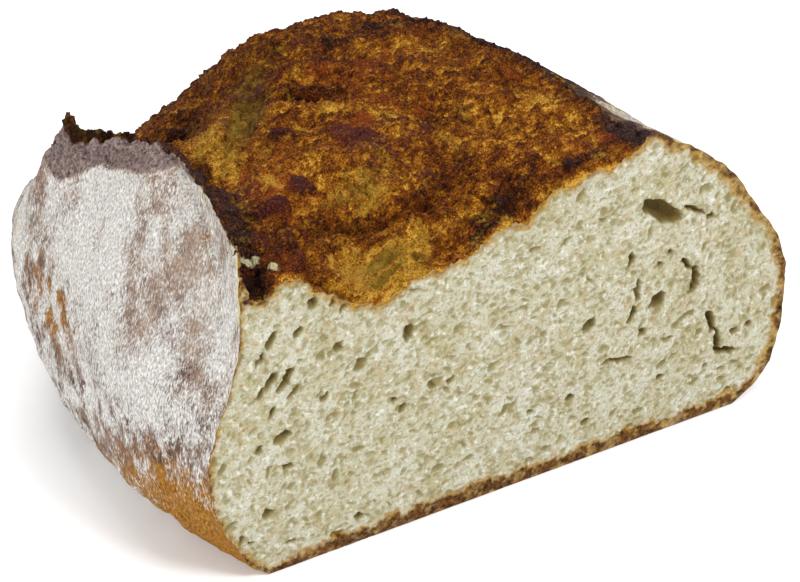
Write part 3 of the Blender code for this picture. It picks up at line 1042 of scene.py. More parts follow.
    golds: Spots = field(default_factory=lambda: {
        "by the ear": Spot(-72, 60, 6, 18, -14, 0.75),
        "beside the long hollow": Spot(-65, 84, 4, 16, -36, 0.45),
        "orange flake": Spot(-60, 56, 2.4, 7, -15, 0.6),
        "by the knob": Spot(-66, 41, 2.4, 5, 25, 0.7),
        "by the crease": Spot(-44, 64, 2.6, 6, 20, 0.6),
        "under the crease": Spot(-32, 69, 12, 3.5, -38, 0.6),
        "membranes": Spot(-44, 8, 22, 8, 5, 0.6),
        "foot of the blister": Spot(-44, 30, 15, 5, 0, 0.35),
        "below the crest": Spot(12, 94, 9, 4, 0, 0.6),
        "at the rim": Spot(34, 44, 5, 12, 8, 0.45),
        "edge of the crumb": Spot(-20, 1, 70, 2.4, 0, 0.35),
    })
    flour_level: float = 0.67
    flour_patches: float = 0.08
    caked: tuple[Noise, ...] = (
        Noise((3.5, 3.5, 6.0), 0.22, 2, 314),
        Noise(1.3, 0.08, 1, 317),
        Noise((10.0, 10.0, 20.0), 0.20, 3, 319),
    )
    fleck_level: float = 0.57
    flecks: Noise = Noise((5.0, 4.0, 6.5), 0.55, 3, 312)
    bare_corner: Spot = Spot(6, 10, 34, 32, 0, 1.0)
    floor_drift: Noise = Noise(9.0, 5.0, 1, 309)
    floor_edge: Fade = Fade(-3.0, 7.0)
    side_level: float = 0.5
    side_edge: Fade = Fade(0.0, 0.03)
    side_thin: Fade = Fade(0.25, 0.5)
    side_thinner: float = 0.3
    side_patches: float = 0.15
    flour_low: Run = Run((
        (0, 58), (9, 54), (19, 50), (31, 47), (46, 46), (58, 50), (70, 57), (78, 62),
        (85, 71), (100, 72), (115, 68), (130, 60), (150, 54), (190, 50),
    ))
    flour_gap: Run = Run((
        (0, 0), (10, 0.6), (42, 1.0), (54, 4.5), (70, 8), (100, 10), (110, 9), (125, 6), (190, 4),
    ))
    flour_thin: Spots = field(default_factory=lambda: {
        "worn middle": Spot(35, 94, 9, 22, 30, -0.28),
        "streak": Spot(50, 104, 3.0, 17, 14, -0.16),
        "streak by the cut": Spot(19, 96, 3.0, 20, 10, -0.12),
        "worn under the crest": Spot(46, 110, 14, 5, 0, -0.10),
        "worn foot": Spot(14, 66, 15, 13, 0, -0.22),
        "worn far edge": Spot(107, 96, 6, 13, 0, -0.4),
        "heavy near the cut": Spot(8, 88, 6, 18, 0, 0.24),
        "heavy left": Spot(70, 88, 18, 22, 0, 0.30),
        "heavy foot": Spot(26, 66, 5, 9, 0, 0.25),
    })
    warms: Spots = field(default_factory=lambda: {
        "front corner of the base": Spot(8, 16, 34, 26, 0, 1.6),
        "under the flour": Spot(90, 58, 22, 14, 0, 0.9),
        "foot": Spot(50, 8, 60, 12, 0, 0.6),
        "rubbed spot by the lip": Spot(26, 111, 1.6, 4.5, 8, 1.2),
    })
    side_warm: float = 0.3
    creams: Spots = field(default_factory=lambda: {
        "far side": Spot(122, 70, 14, 11, 0, 0.44),
    })
    torn_creams: Spots = field(default_factory=lambda: {
        "first flake": Spot(-86, 14, 2.8, 1.5, -25, 1.1),
        "second flake": Spot(-82.5, 6.5, 1.6, 2.2, 0, 1.1),
    })
    cream_edge: Band = Band(0.0, 1.4)
    cream_height: Fade = Fade(90.0, 8.0)
    cream_most: float = 0.46
    lip: Band = Band(0.0, 8.0)
    lip_back: Fade = Fade(70.0, -30.0)
    dusted_edge: Fade = Fade(0.0, 0.02)
    dusted_down: Fade = Fade(0.05, 0.25)
    dusted_wander: float = 0.2
    rim_char: Run = Run(((0, 0.7), (25, 0.5), (45, 0.45), (70, 0.8), (110, 0.8), (150, 0.5), (190, 0.4)))
    ear_char: Run = Run(((0, 0.1), (12, 0.4), (24, 0.8), (60, 0.8), (80, 0.4), (110, 0.25), (190, 0.3)))

    def lie(self, grid: CrustGrid, heights: Array) -> CrustLie:
        """Return what the stains are worked out from.

        Args:
            grid: The grid with its relief on.
            heights: The fine heights that were laid on it.

        Returns:
            The values, one a point.
        """
        across, height = grid.place[..., 0], grid.place[..., 2]
        backs = grid.back[:, 0]
        torn = grid.only(Stretch.EAR, Stretch.TOP)
        side = (1.0 - torn) * self.turn.at(across)
        patches = self.patches.at(grid.place)
        mottle = self.mottle.at(grid.place)
        gap, rim = grid.edge(Stretch.EAR), grid.edge(Stretch.TOP)
        rim_char = self.rim_char.over(backs)[:, None] * self.rim_edge.at(across - rim[..., 0])
        past_gap = np.clip(across - gap[..., 0], 0.0, None)
        ear_char = self.ear_char.over(backs)[:, None] * self.ear_edge.at(past_gap) * torn
        strand, hollow = self.membranes.weights(grid)
        cut = self.cut_edge.at(grid.back) * (1.0 - self.cut_spared.weight(grid.across, grid.back))
        below = blurred(height, self.blur)[:, grid.columns[Stretch.WALL].stop - 1][:, None] - height
        margin = self.flour_gap.over(backs)[:, None] + self.margin_drift * patches
        down = (rim[..., 2] - height) / np.maximum(rim[..., 2], 1.0)
        browned = side * self.browned_back.at(grid.back + self.browned_drift * patches)
        return CrustLie(
            grid=grid,
            torn=torn,
            wall=1.0 - torn - side,
            side=side,
            below=below,
            down=down,
            rim_char=rim_char,
            margin=self.margin_edge.at(margin - below) * self.margin_back.at(grid.back),
            browned=browned * (1.0 - self.browned_down.at(down + self.browned_wander * patches)),
            causes={
                Cause.PATCHES: patches,
                Cause.MOTTLE: mottle,
                Cause.DRIFT: self.drift.at(grid.place),
                Cause.RAISED: np.clip((heights - blurred(heights, self.blur)) / self.peak, -1.0, 1.0),
                Cause.STRAND: strand,
                Cause.HOLLOW: hollow,
                Cause.CRACK: self.cracks.weights(grid),
                Cause.CHAR: rim_char + ear_char,
                Cause.INNER: grid.only(Stretch.EAR) * self.inner_back.at(grid.back),
                Cause.FAR: self.far_back.at(grid.back),
                Cause.CUT: cut * (1.0 + self.cut_mottle * mottle),
            },
        )

    def plain_bake(self, lie: CrustLie) -> Array:
        """Return how browned the crust that isn't torn is."""
        bake = self.plain.at(lie) + self.upper_paler * lie.wall * self.upper_wall.at(lie.height)
        return bake - self.rim_darker * lie.rim_char * lie.side - self.browned_darker * lie.browned

    def flour(self, lie: CrustLie) -> Array:
        """Return how floured the crust is: caked on the wall, in flecks below, thinner on the shoulder."""
        grid = lie.grid
        caked = self.flour_level + heaped(self.caked, grid.place) + self.flour_patches * lie.patches
        caked = caked + spots_sum(self.flour_thin, grid.back, lie.height)
        flecks = self.fleck_level + self.flecks.at(grid.place)
        flecks = flecks * (1.0 - self.bare_corner.weight(grid.back, lie.height))
        floor = self.flour_low.over(grid.back[:, 0])[:, None] + self.floor_drift.at(grid.place)
        reach = self.floor_edge.at(lie.height - floor)
        left = (caked * reach + flecks * (1.0 - reach)) * (1.0 - lie.margin)
        right = self.side_level - self.side_thinner * self.side_thin.at(lie.down)
        right = right * self.side_edge.at(lie.down) + self.side_patches * lie.patches
        right = right * (1.0 - lie.rim_char) * (1.0 - lie.browned)
        return lie.wall * left + lie.side * right

    def cream(self, lie: CrustLie) -> Array:
        """Return where raw, cream-coloured dough shows: at the cut, the lip and flakes, and the shoulder."""
        grid = lie.grid
        edge = self.cream_edge.at(grid.back) * self.cream_height.at(lie.height) * lie.wall
        lip = self.cream_most * self.lip.at(lie.below) * self.lip_back.at(grid.back) * (1.0 - lie.margin)
        wall = lie.wall * np.maximum(lip, spots_sum(self.creams, grid.back, lie.height))
        flakes = lie.torn * spots_sum(self.torn_creams, grid.across, grid.back)
        dusted = lie.side * self.cream_most * self.dusted_edge.at(lie.down) * (1.0 - lie.rim_char)
        dusted = dusted * (1.0 - self.dusted_down.at(lie.down + self.dusted_wander * lie.patches))
        return np.maximum(edge, wall) + flakes + dusted * (1.0 - lie.browned)

    def paints(self, grid: CrustGrid, heights: Array) -> Paints:
        """Return every stain over the grid.

        Args:
            grid: The grid with its relief on.
            heights: The fine heights that were laid on it.

        Returns:
            For each stain, one value a point.
        """
        lie = self.lie(grid, heights)
        named = {
            Paint.BAKE: self.bakes_and_shade, Paint.OLIVE: self.olives, Paint.ASH: self.ashes,
            Paint.PLUM: self.plums, Paint.RED: self.reds, Paint.GOLD: self.golds,
        }
        paints = {
            paint: lie.torn * (mixture.at(lie) + spots_sum(named[paint], grid.across, grid.back))
            for paint, mixture in self.mixtures.items()
        }
        paints[Paint.BAKE] = paints[Paint.BAKE] + (1.0 - lie.torn) * self.plain_bake(lie)
        bare = self.margin_ash * lie.wall * lie.margin + self.side_ash * lie.side * lie.rim_char
        paints[Paint.ASH] = paints[Paint.ASH] * (1.0 - self.inner_clear * lie.causes[Cause.INNER]) + bare
        warm = lie.wall * spots_sum(self.warms, grid.back, lie.height)
        paints[Paint.WARM] = warm + self.side_warm * lie.side * (1.0 + lie.patches)
        paints[Paint.FLOUR] = self.flour(lie)
        paints[Paint.CREAM] = self.cream(lie)
        return paints


# Finishes


def linear(colour: str) -> tuple[float, float, float, float]:
    """Return an sRGB hex colour as linear red, green, blue and 1."""
    parts = [int(colour[i:i + 2], 16) / 255.0 for i in (1, 3, 5)]
    low = [part / 12.92 if part <= 0.04045 else ((part + 0.055) / 1.055) ** 2.4 for part in parts]
    return low[0], low[1], low[2], 1.0


def add_node(tree: Tree, kind: str, inputs: Mapping[Any, Any],
             **settings: Any) -> bpy.types.Node:
    """Add a node with its settings, and fill or link its inputs.

    Args:
        tree: The material's node tree.
        kind: Blender's name for the node.
        inputs: For each input's name or number, a value or the socket to link.
        settings: The node's own settings; stops are a ramp's (place, hex colour) pairs.

    Returns:
        The node.
    """
    node = tree.nodes.new(kind)
    stops = settings.pop("stops", ())
    for name, value in settings.items():
        setattr(node, name, value)
    for i, (place, colour) in enumerate(stops):
        ramp = node.color_ramp.elements
        stop = ramp[i] if i < 2 else ramp.new(place)
        stop.position = place
        stop.color = linear(colour)
    for name, value in inputs.items():
        if isinstance(value, Socket):
            tree.links.new(value, node.inputs[name])
        else:
            node.inputs[name].default_value = value
    return node


MIX = {"data_type": "RGBA", "clamp_factor": True}
MIX_FACTOR, MIX_FIRST, MIX_SECOND, MIX_RESULT = 0, 6, 7, 2

# Blender's noise mostly lies between these values, which are stretched to 0 and 1.
NOISE_LOW = 0.32
NOISE_HIGH = 0.68


def shifted(tree: Tree, value: Socket, grain: Socket, reach: float, **settings: Any) -> Socket:
    """Add the nodes that shift a value up and down by a grain.

    Args:
        tree: The material's node tree.
        value: The value.
        grain: The grain, from 0 to 1.
        reach: How far it shifts the value each way.
        settings: The last node's own settings.

    Returns:
        The socket of the shifted value.
    """
    centred = add_node(tree, "ShaderNodeMath", {0: grain, 1: 0.5}, operation="SUBTRACT").outputs[0]
    return add_node(tree, "ShaderNodeMath", {0: centred, 1: 2.0 * reach, 2: value},
                    operation="MULTIPLY_ADD", **settings).outputs[0]


def surface(tree: Tree, colour: Socket, height: Socket, bump: float,
            values: Mapping[str, Any]) -> None:
    """Give a material's shader its colour, its bump and its other values.

    Args:
        tree: The material's node tree.
        colour: The colour.
        height: The grain that makes the bump.
        bump: The bump's height in millimetres.
        values: The shader's other values, by the names of its inputs.
    """
    shader = tree.nodes["Principled BSDF"]
    normal = add_node(tree, "ShaderNodeBump", {"Height": height, "Strength": 1.0, "Distance": bump * MM})
    tree.links.new(colour, shader.inputs["Base Color"])
    tree.links.new(normal.outputs[0], shader.inputs["Normal"])
    for name, value in values.items():
        shader.inputs[name].default_value = value


@dataclass(frozen=True)
class Grain:
    """A fine noise with a real size in millimetres, the same each way or one an axis."""

    size: float | tuple[float, float, float]
    detail: float = 2.0
    roughness: float = 0.55

    def add(self, tree: Tree, place: Socket) -> Socket:
        """Add the noise to a material and return its socket."""
        scale = tuple(1.0 / (MM * float(one)) for one in np.broadcast_to(self.size, 3))
        mapped = add_node(tree, "ShaderNodeMapping", {"Vector": place, "Scale": scale})
        noise = add_node(tree, "ShaderNodeTexNoise", {
            "Vector": mapped.outputs[0], "Scale": 1.0, "Detail": self.detail, "Roughness": self.roughness,
        })
        return add_node(tree, "ShaderNodeMapRange", {
            "Value": noise.outputs[0], "From Min": NOISE_LOW, "From Max": NOISE_HIGH,
        }).outputs[0]


@dataclass(frozen=True)
class Layer:
    """One thin layer of colour, laid where its stain is strong and broken up by a grain.

    Attributes:
        paint: The stain that it reads.
        colours: Its two hex colours, which the grain mixes.
        start: The stain's value where the layer begins.
        full: The stain's value where it covers most.
        most: How much it covers there.
        grain: The grain that breaks it up.
        broken: How much the grain shifts the stain.
        tint: The grain that mixes the two colours, where it isn't the crust's own.
    """

    paint: Paint
    colours: tuple[str, str]
    start: float
    full: float
    most: float
    grain: Grain
    broken: float
    tint: Grain | None = None

    def over(self, tree: Tree, place: Socket, fine: Socket, colour: Socket) -> Socket:
        """Add the nodes that lay this layer over a colour.

        Args:
            tree: The material's node tree.
            place: The object's own coordinates.
            fine: The crust's own grain, which mixes the two colours where tint is None.
            colour: The colour underneath.

        Returns:
            The socket of the new colour.
        """
        paint = add_node(tree, "ShaderNodeAttribute", {}, attribute_name=self.paint.value).outputs["Fac"]
        cover = add_node(tree, "ShaderNodeMapRange", {
            "Value": shifted(tree, paint, self.grain.add(tree, place), self.broken),
            "From Min": self.start, "From Max": self.full, "To Max": self.most,
        }, interpolation_type="SMOOTHSTEP").outputs[0]
        tint = add_node(tree, "ShaderNodeMix", {
            MIX_FACTOR: self.tint.add(tree, place) if self.tint else fine,
            MIX_FIRST: linear(self.colours[0]), MIX_SECOND: linear(self.colours[1]),
        }, **MIX).outputs[MIX_RESULT]
        return add_node(tree, "ShaderNodeMix", {
            MIX_FACTOR: cover, MIX_FIRST: colour, MIX_SECOND: tint,
        }, **MIX).outputs[MIX_RESULT]


@dataclass(frozen=True)
class CrustFinish:
    """Baked wheat crust: matt, grainy and stained, with a faint gloss where its sugars browned.

    Attributes:
        name: The material's name.
        ramp: Hex colours from the darkest baked crust to the palest; the dark end is also painted shade in
            creases and hollows.
        speckle: The grain that scatters light and dark specks.
        speckled: How far the specks reach up and down the ramp.
        blotch: A wider grain under the specks.
        blotched: How far the blotches reach.
        layers: The stains and dustings over the browned crust, first the lowest.
        roughness: How matt the crust is.
        bump: The height in millimetres of the fine grain.
        ior: The refractive index of dry starch.
        gloss: How much of its reflection the pitted surface keeps.
    """

    name: str
    ramp: tuple[tuple[float, str], ...]
    speckle: Grain
    speckled: float
    blotch: Grain
    blotched: float
    layers: tuple[Layer, ...]
    roughness: float
    bump: float
    ior: float = 1.45
    gloss: float = 0.07

    def material(self) -> bpy.types.Material:
        """Return the crust's material."""
        material = bpy.data.materials.new(self.name)
        material.use_nodes = True
        tree = material.node_tree
        place = add_node(tree, "ShaderNodeTexCoord", {}).outputs["Object"]
        fine = self.speckle.add(tree, place)
        value = add_node(tree, "ShaderNodeAttribute", {}, attribute_name=Paint.BAKE.value).outputs["Fac"]
        value = shifted(tree, value, fine, self.speckled)
        value = shifted(tree, value, self.blotch.add(tree, place), self.blotched)
        colour = add_node(tree, "ShaderNodeValToRGB", {"Fac": value}, stops=self.ramp).outputs["Color"]
        for layer in self.layers:
            colour = layer.over(tree, place, fine, colour)
        surface(tree, colour, fine, self.bump, {
            "Roughness": self.roughness, "IOR": self.ior, "Specular IOR Level": self.gloss,
        })
        return material


@dataclass(frozen=True)
class Fleck:
    """Scattered flecks of one hex colour: their grain, where they begin in it, and their greatest cover."""

    colour: str
    grain: Grain
    start: float
    most: float


@dataclass(frozen=True)
class CrumbFinish:
    """Sourdough crumb: a pale, matt, slightly see-through sponge, with olive painted shade where its bubbles
    are deep.

    Attributes:
        name: The material's name.
        ramp: Hex colours from the cut's own level to the depth of a bubble: painted shade, darker and more
            olive the deeper.
        tones: Two hex colours that the wide mottling lays over the crumb.
        toned: How strongly it does.
        speckle: The finest pores, too small to be shaped.
        speckled: How far they shift the ramp, as painted shade in the finest pores.
        mottle: The wide mottling.
        flecks: Bran, gelled starch and damp spots, all too small to be shaped.
        fleck_depths: The depths between which the flecks fade out inside a bubble.
        rim: The grain of the cut crust.
        gold: The hex colours of the browned line inside the crust.
        dark: The hex colours of the crust where the knife went through it.
        frayed: How far the fine pores fray the crust's edge.
        bump: The height in millimetres of the finest pores.
        shine: The shader's other values: matt starch with light that goes in a millimetre deep.
    """

    name: str = "sourdough_crumb"
    ramp: tuple[tuple[float, str], ...] = (
        (0.0, "#BDBEB1"), (0.14, "#A8A68E"), (0.34, "#8D8662"), (0.66, "#786B42"), (1.0, "#685832"),
    )
    tones: tuple[str, str] = ("#FCFCFE", "#D0C698")
    toned: float = 0.7
    speckle: Grain = Grain(0.9, 3.0, 0.65)
    speckled: float = -0.1
    mottle: Grain = Grain(9.0, 3.0, 0.6)
    rim: Grain = Grain(1.7, 3.0, 0.65)
    flecks: tuple[Fleck, ...] = (
        Fleck("#DAD9D2", Grain(2.2, 3.0), 0.62, 0.55),
        Fleck("#A3906A", Grain(3.1, 3.0), 0.60, 0.50),
        Fleck("#7E7A4C", Grain(1.3, 2.0), 0.72, 0.60),
        Fleck("#9A6A3A", Grain(1.0, 1.0), 0.90, 0.50),
    )
    fleck_depths: tuple[float, float] = (0.15, 0.45)
    gold: tuple[str, str] = ("#6E4A10", "#AE8A34")
    dark: tuple[str, str] = ("#170A05", "#6E4418")
    frayed: float = 0.2
    bump: float = 0.2
    shine: Mapping[str, Any] = field(default_factory=lambda: {
        "Roughness": 0.85, "IOR": 1.4, "Specular IOR Level": 0.2, "Subsurface Weight": 0.25,
        "Subsurface Radius": (1.0, 0.7, 0.4), "Subsurface Scale": 1.2 * MM,
    })

    def material(self) -> bpy.types.Material:
        """Return the crumb's material."""
        material = bpy.data.materials.new(self.name)
        material.use_nodes = True
        tree = material.node_tree
        place = add_node(tree, "ShaderNodeTexCoord", {}).outputs["Object"]
        fine = self.speckle.add(tree, place)
        wide = self.mottle.add(tree, place)
        # The pore attribute is painted shade: it darkens the crumb towards olive the deeper a bubble is.
        pore = add_node(tree, "ShaderNodeAttribute", {}, attribute_name=Paint.PORE.value).outputs["Fac"]
        depth = shifted(tree, pore, fine, self.speckled)
        colour = add_node(tree, "ShaderNodeValToRGB", {"Fac": depth}, stops=self.ramp).outputs["Color"]
        tone = add_node(tree, "ShaderNodeValToRGB", {"Fac": wide}, stops=(
            (0.0, self.tones[0]), (1.0, self.tones[1]),
        )).outputs["Color"]
        colour = add_node(tree, "ShaderNodeMix", {
            MIX_FACTOR: self.toned, MIX_FIRST: colour, MIX_SECOND: tone,
        }, blend_type="MULTIPLY", **MIX).outputs[MIX_RESULT]
        shallow = add_node(tree, "ShaderNodeMapRange", {
            "Value": pore, "From Min": self.fleck_depths[0], "From Max": self.fleck_depths[1],
            "To Min": 1.0, "To Max": 0.0,
        }).outputs[0]
        for fleck in self.flecks:
            cover = add_node(tree, "ShaderNodeMapRange", {
                "Value": fleck.grain.add(tree, place), "From Min": fleck.start, "To Max": fleck.most,
            }, interpolation_type="SMOOTHSTEP").outputs[0]
            cover = add_node(tree, "ShaderNodeMath", {0: cover, 1: shallow}, operation="MULTIPLY").outputs[0]
            colour = add_node(tree, "ShaderNodeMix", {
                MIX_FACTOR: cover, MIX_FIRST: colour, MIX_SECOND: linear(fleck.colour),
            }, **MIX).outputs[MIX_RESULT]
        rim = self.rim.add(tree, place)
        for paint, tints in ((Paint.RIM_GOLD, self.gold), (Paint.RIM_DARK, self.dark)):
            cover = add_node(tree, "ShaderNodeAttribute", {}, attribute_name=paint.value).outputs["Fac"]
            tint = add_node(tree, "ShaderNodeMix", {
                MIX_FACTOR: rim, MIX_FIRST: linear(tints[0]), MIX_SECOND: linear(tints[1]),
            }, **MIX).outputs[MIX_RESULT]
            colour = add_node(tree, "ShaderNodeMix", {
                MIX_FACTOR: shifted(tree, cover, fine, self.frayed, use_clamp=True),
                MIX_FIRST: colour, MIX_SECOND: tint,
            }, **MIX).outputs[MIX_RESULT]
        surface(tree, colour, fine, self.bump, self.shine)
        return material


# Bread flour and char are finer than 0.2 mm. Their specks are drawn 0.6 to 1.6 mm wide, so that they show.

# Char at the torn edges gives the eye a near black with a few paler, dusty specks.
ASH = Layer(Paint.ASH, ("#140B0C", "#4E3B38"), 0.30, 0.95, 0.9, Grain(1.3), 0.26)

# Flour that burnt on the ear's crest gives a grey purple, speckled light and dark.
WALL_ASH = Layer(Paint.ASH, ("#050101", "#9A8682"), 0.30, 0.80, 0.92, Grain(1.6), 0.25,
                 Grain(1.3, 3.0, 0.75))

# Dough that stretched out late stayed raw and cream-coloured.
CREAM = Layer(Paint.CREAM, ("#B5A878", "#D2CAA6"), 0.35, 0.6, 0.95, Grain(1.2), 0.12)

# Torn crust is open dough that browned in the oven without flour. It gives the eye a matt, grainy brown,
# from char to gold, with olive where it is thin and purple where its knobs burnt.
# Through the bake paint, painted shade darkens its creases, cracks, hollows and the pocket.
TORN_CRUST = CrustFinish(
    name="torn_sourdough_crust",
    ramp=(
        (0.0, "#1B0D07"), (0.18, "#38190A"), (0.34, "#52270B"), (0.50, "#6C3A0B"),
        (0.66, "#88500F"), (0.82, "#A76E1A"), (1.0, "#CB9C40"),
    ),
    speckle=Grain(0.6, 2.0, 0.6),
    speckled=0.25,
    blotch=Grain((2.6, 1.5, 1.9), 3.0, 0.6),
    blotched=0.22,
    layers=(
        Layer(Paint.RED, ("#5E200C", "#9C4C1C"), 0.25, 1.0, 0.6, Grain(1.2), 0.3),
        Layer(Paint.GOLD, ("#8E6410", "#CDA03A"), 0.30, 1.0, 0.75, Grain(1.5), 0.3),
        Layer(Paint.OLIVE, ("#48340B", "#8E762C"), 0.30, 1.0, 0.70, Grain(3.0), 0.14,
              Grain(2.4)),
        Layer(Paint.PLUM, ("#2C0F12", "#64302A"), 0.30, 1.0, 0.85, Grain(0.9), 0.3),
        ASH,
        CREAM,
        Layer(Paint.FLOUR, ("#8E8880", "#C4C2BE"), 0.3, 0.8, 0.9, Grain((0.6, 0.6, 1.6)), 0.25),
    ),
    roughness=0.6,
    bump=0.6,
)

# Floured crust was proofed on linen. It gives a chalky white over brown, fibrous from the cloth's print,
# that wears down to golden crust at the foot.
FLOURED_CRUST = CrustFinish(
    name="floured_sourdough_crust",
    ramp=(
        (0.0, "#1E110D"), (0.25, "#3E2A22"), (0.5, "#6A5347"), (0.75, "#8D7868"), (1.0, "#AC9886"),
    ),
    speckle=Grain((0.7, 0.7, 1.3), 3.0, 0.65),
    speckled=0.16,
    blotch=Grain((5.0, 5.0, 7.0), 3.0, 0.6),
    blotched=0.10,
    layers=(
        Layer(Paint.WARM, ("#5A320F", "#B07C2A"), 0.25, 0.9, 0.95, Grain((2.5, 2.5, 3.5), 3.0), 0.3),
        WALL_ASH,
        # The linen's print: threads 0.6 mm wide that show for 2.4 mm between crossings.
        Layer(Paint.FLOUR, ("#8E8A83", "#E6E4E0"), 0.20, 0.85, 0.97, Grain((0.6, 0.6, 2.4), 2.0, 0.6), 0.30),
        CREAM,
    ),
    roughness=0.8,
    bump=0.2,
)

# Base crust baked on the hearth's stone. It gives an even, dry brown with flour in its shallow pits.
BASE_CRUST = CrustFinish(
    name="hearth_baked_base_crust",
    ramp=(
        (0.0, "#24120A"), (0.3, "#4A2A16"), (0.6, "#7A4C24"), (1.0, "#A87840"),
    ),
    speckle=Grain(0.8, 3.0, 0.6),
    speckled=0.2,
    blotch=Grain(9.0, 3.0, 0.6),
    blotched=0.3,
    layers=(
        Layer(Paint.FLOUR, ("#B9B0A4", "#E4E0D8"), 0.35, 0.8, 0.85, Grain(2.0), 0.4),
    ),
    roughness=0.75,
    bump=0.25,
)


# Meshes


def to_row(place: Array) -> Array:
    """Return points of the form in the row frame, in metres."""
    return (place + np.array([MIDDLE_X, CUT_Y, 0.0])) * MM


def make_piece(name: str, points: Array, faces: Iterable[Array], uv: Array, paints: Paints,
               material: bpy.types.Material, normals: Array | None = None) -> bpy.types.Object:
    """Make one piece from points and faces, and hand it to the frame.

    Args:
        name: The piece's name.
        points: Points of the form.
        faces: Arrays of corner numbers, one row a face.
        uv: Two flat coordinates a point.
        paints: The stains, one value a point.
        material: The piece's material.
        normals: The points' normals where they come from a wider surface.

    Returns:
        The object.
    """
    corners = np.concatenate([one.ravel() for one in faces]).astype(np.int32)
    counts = np.concatenate([np.full(len(one), one.shape[1]) for one in faces])
    mesh = bpy.data.meshes.new(name)
    mesh.vertices.add(len(points))
    mesh.vertices.foreach_set("co", to_row(points).astype(np.float32).ravel())
    mesh.loops.add(len(corners))
    mesh.loops.foreach_set("vertex_index", corners)
    mesh.polygons.add(len(counts))
    mesh.polygons.foreach_set("loop_start", np.concatenate([[0], np.cumsum(counts)[:-1]]).astype(np.int32))
    mesh.update(calc_edges=True)
    layer = mesh.uv_layers.new(name=UV_NAME)
    layer.data.foreach_set("uv", uv[corners].astype(np.float32).ravel())
    for paint, values in paints.items():
        held = mesh.attributes.new(paint.value, "FLOAT", "POINT")
        held.data.foreach_set("value", np.asarray(values, dtype=np.float32).ravel())
    mesh.polygons.foreach_set("use_smooth", np.ones(len(counts), dtype=bool))
    if normals is not None:
        mesh.normals_split_custom_set_from_vertices(normals.astype(np.float32))
    mesh.materials.append(material)
    piece = bpy.data.objects.new(name, mesh)
    bpy.context.scene.collection.objects.link(piece)
    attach(piece, BODY)
    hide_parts(NODE)
    LOG.info("%s: %d points, %d faces", name, len(points), len(counts))
    return piece


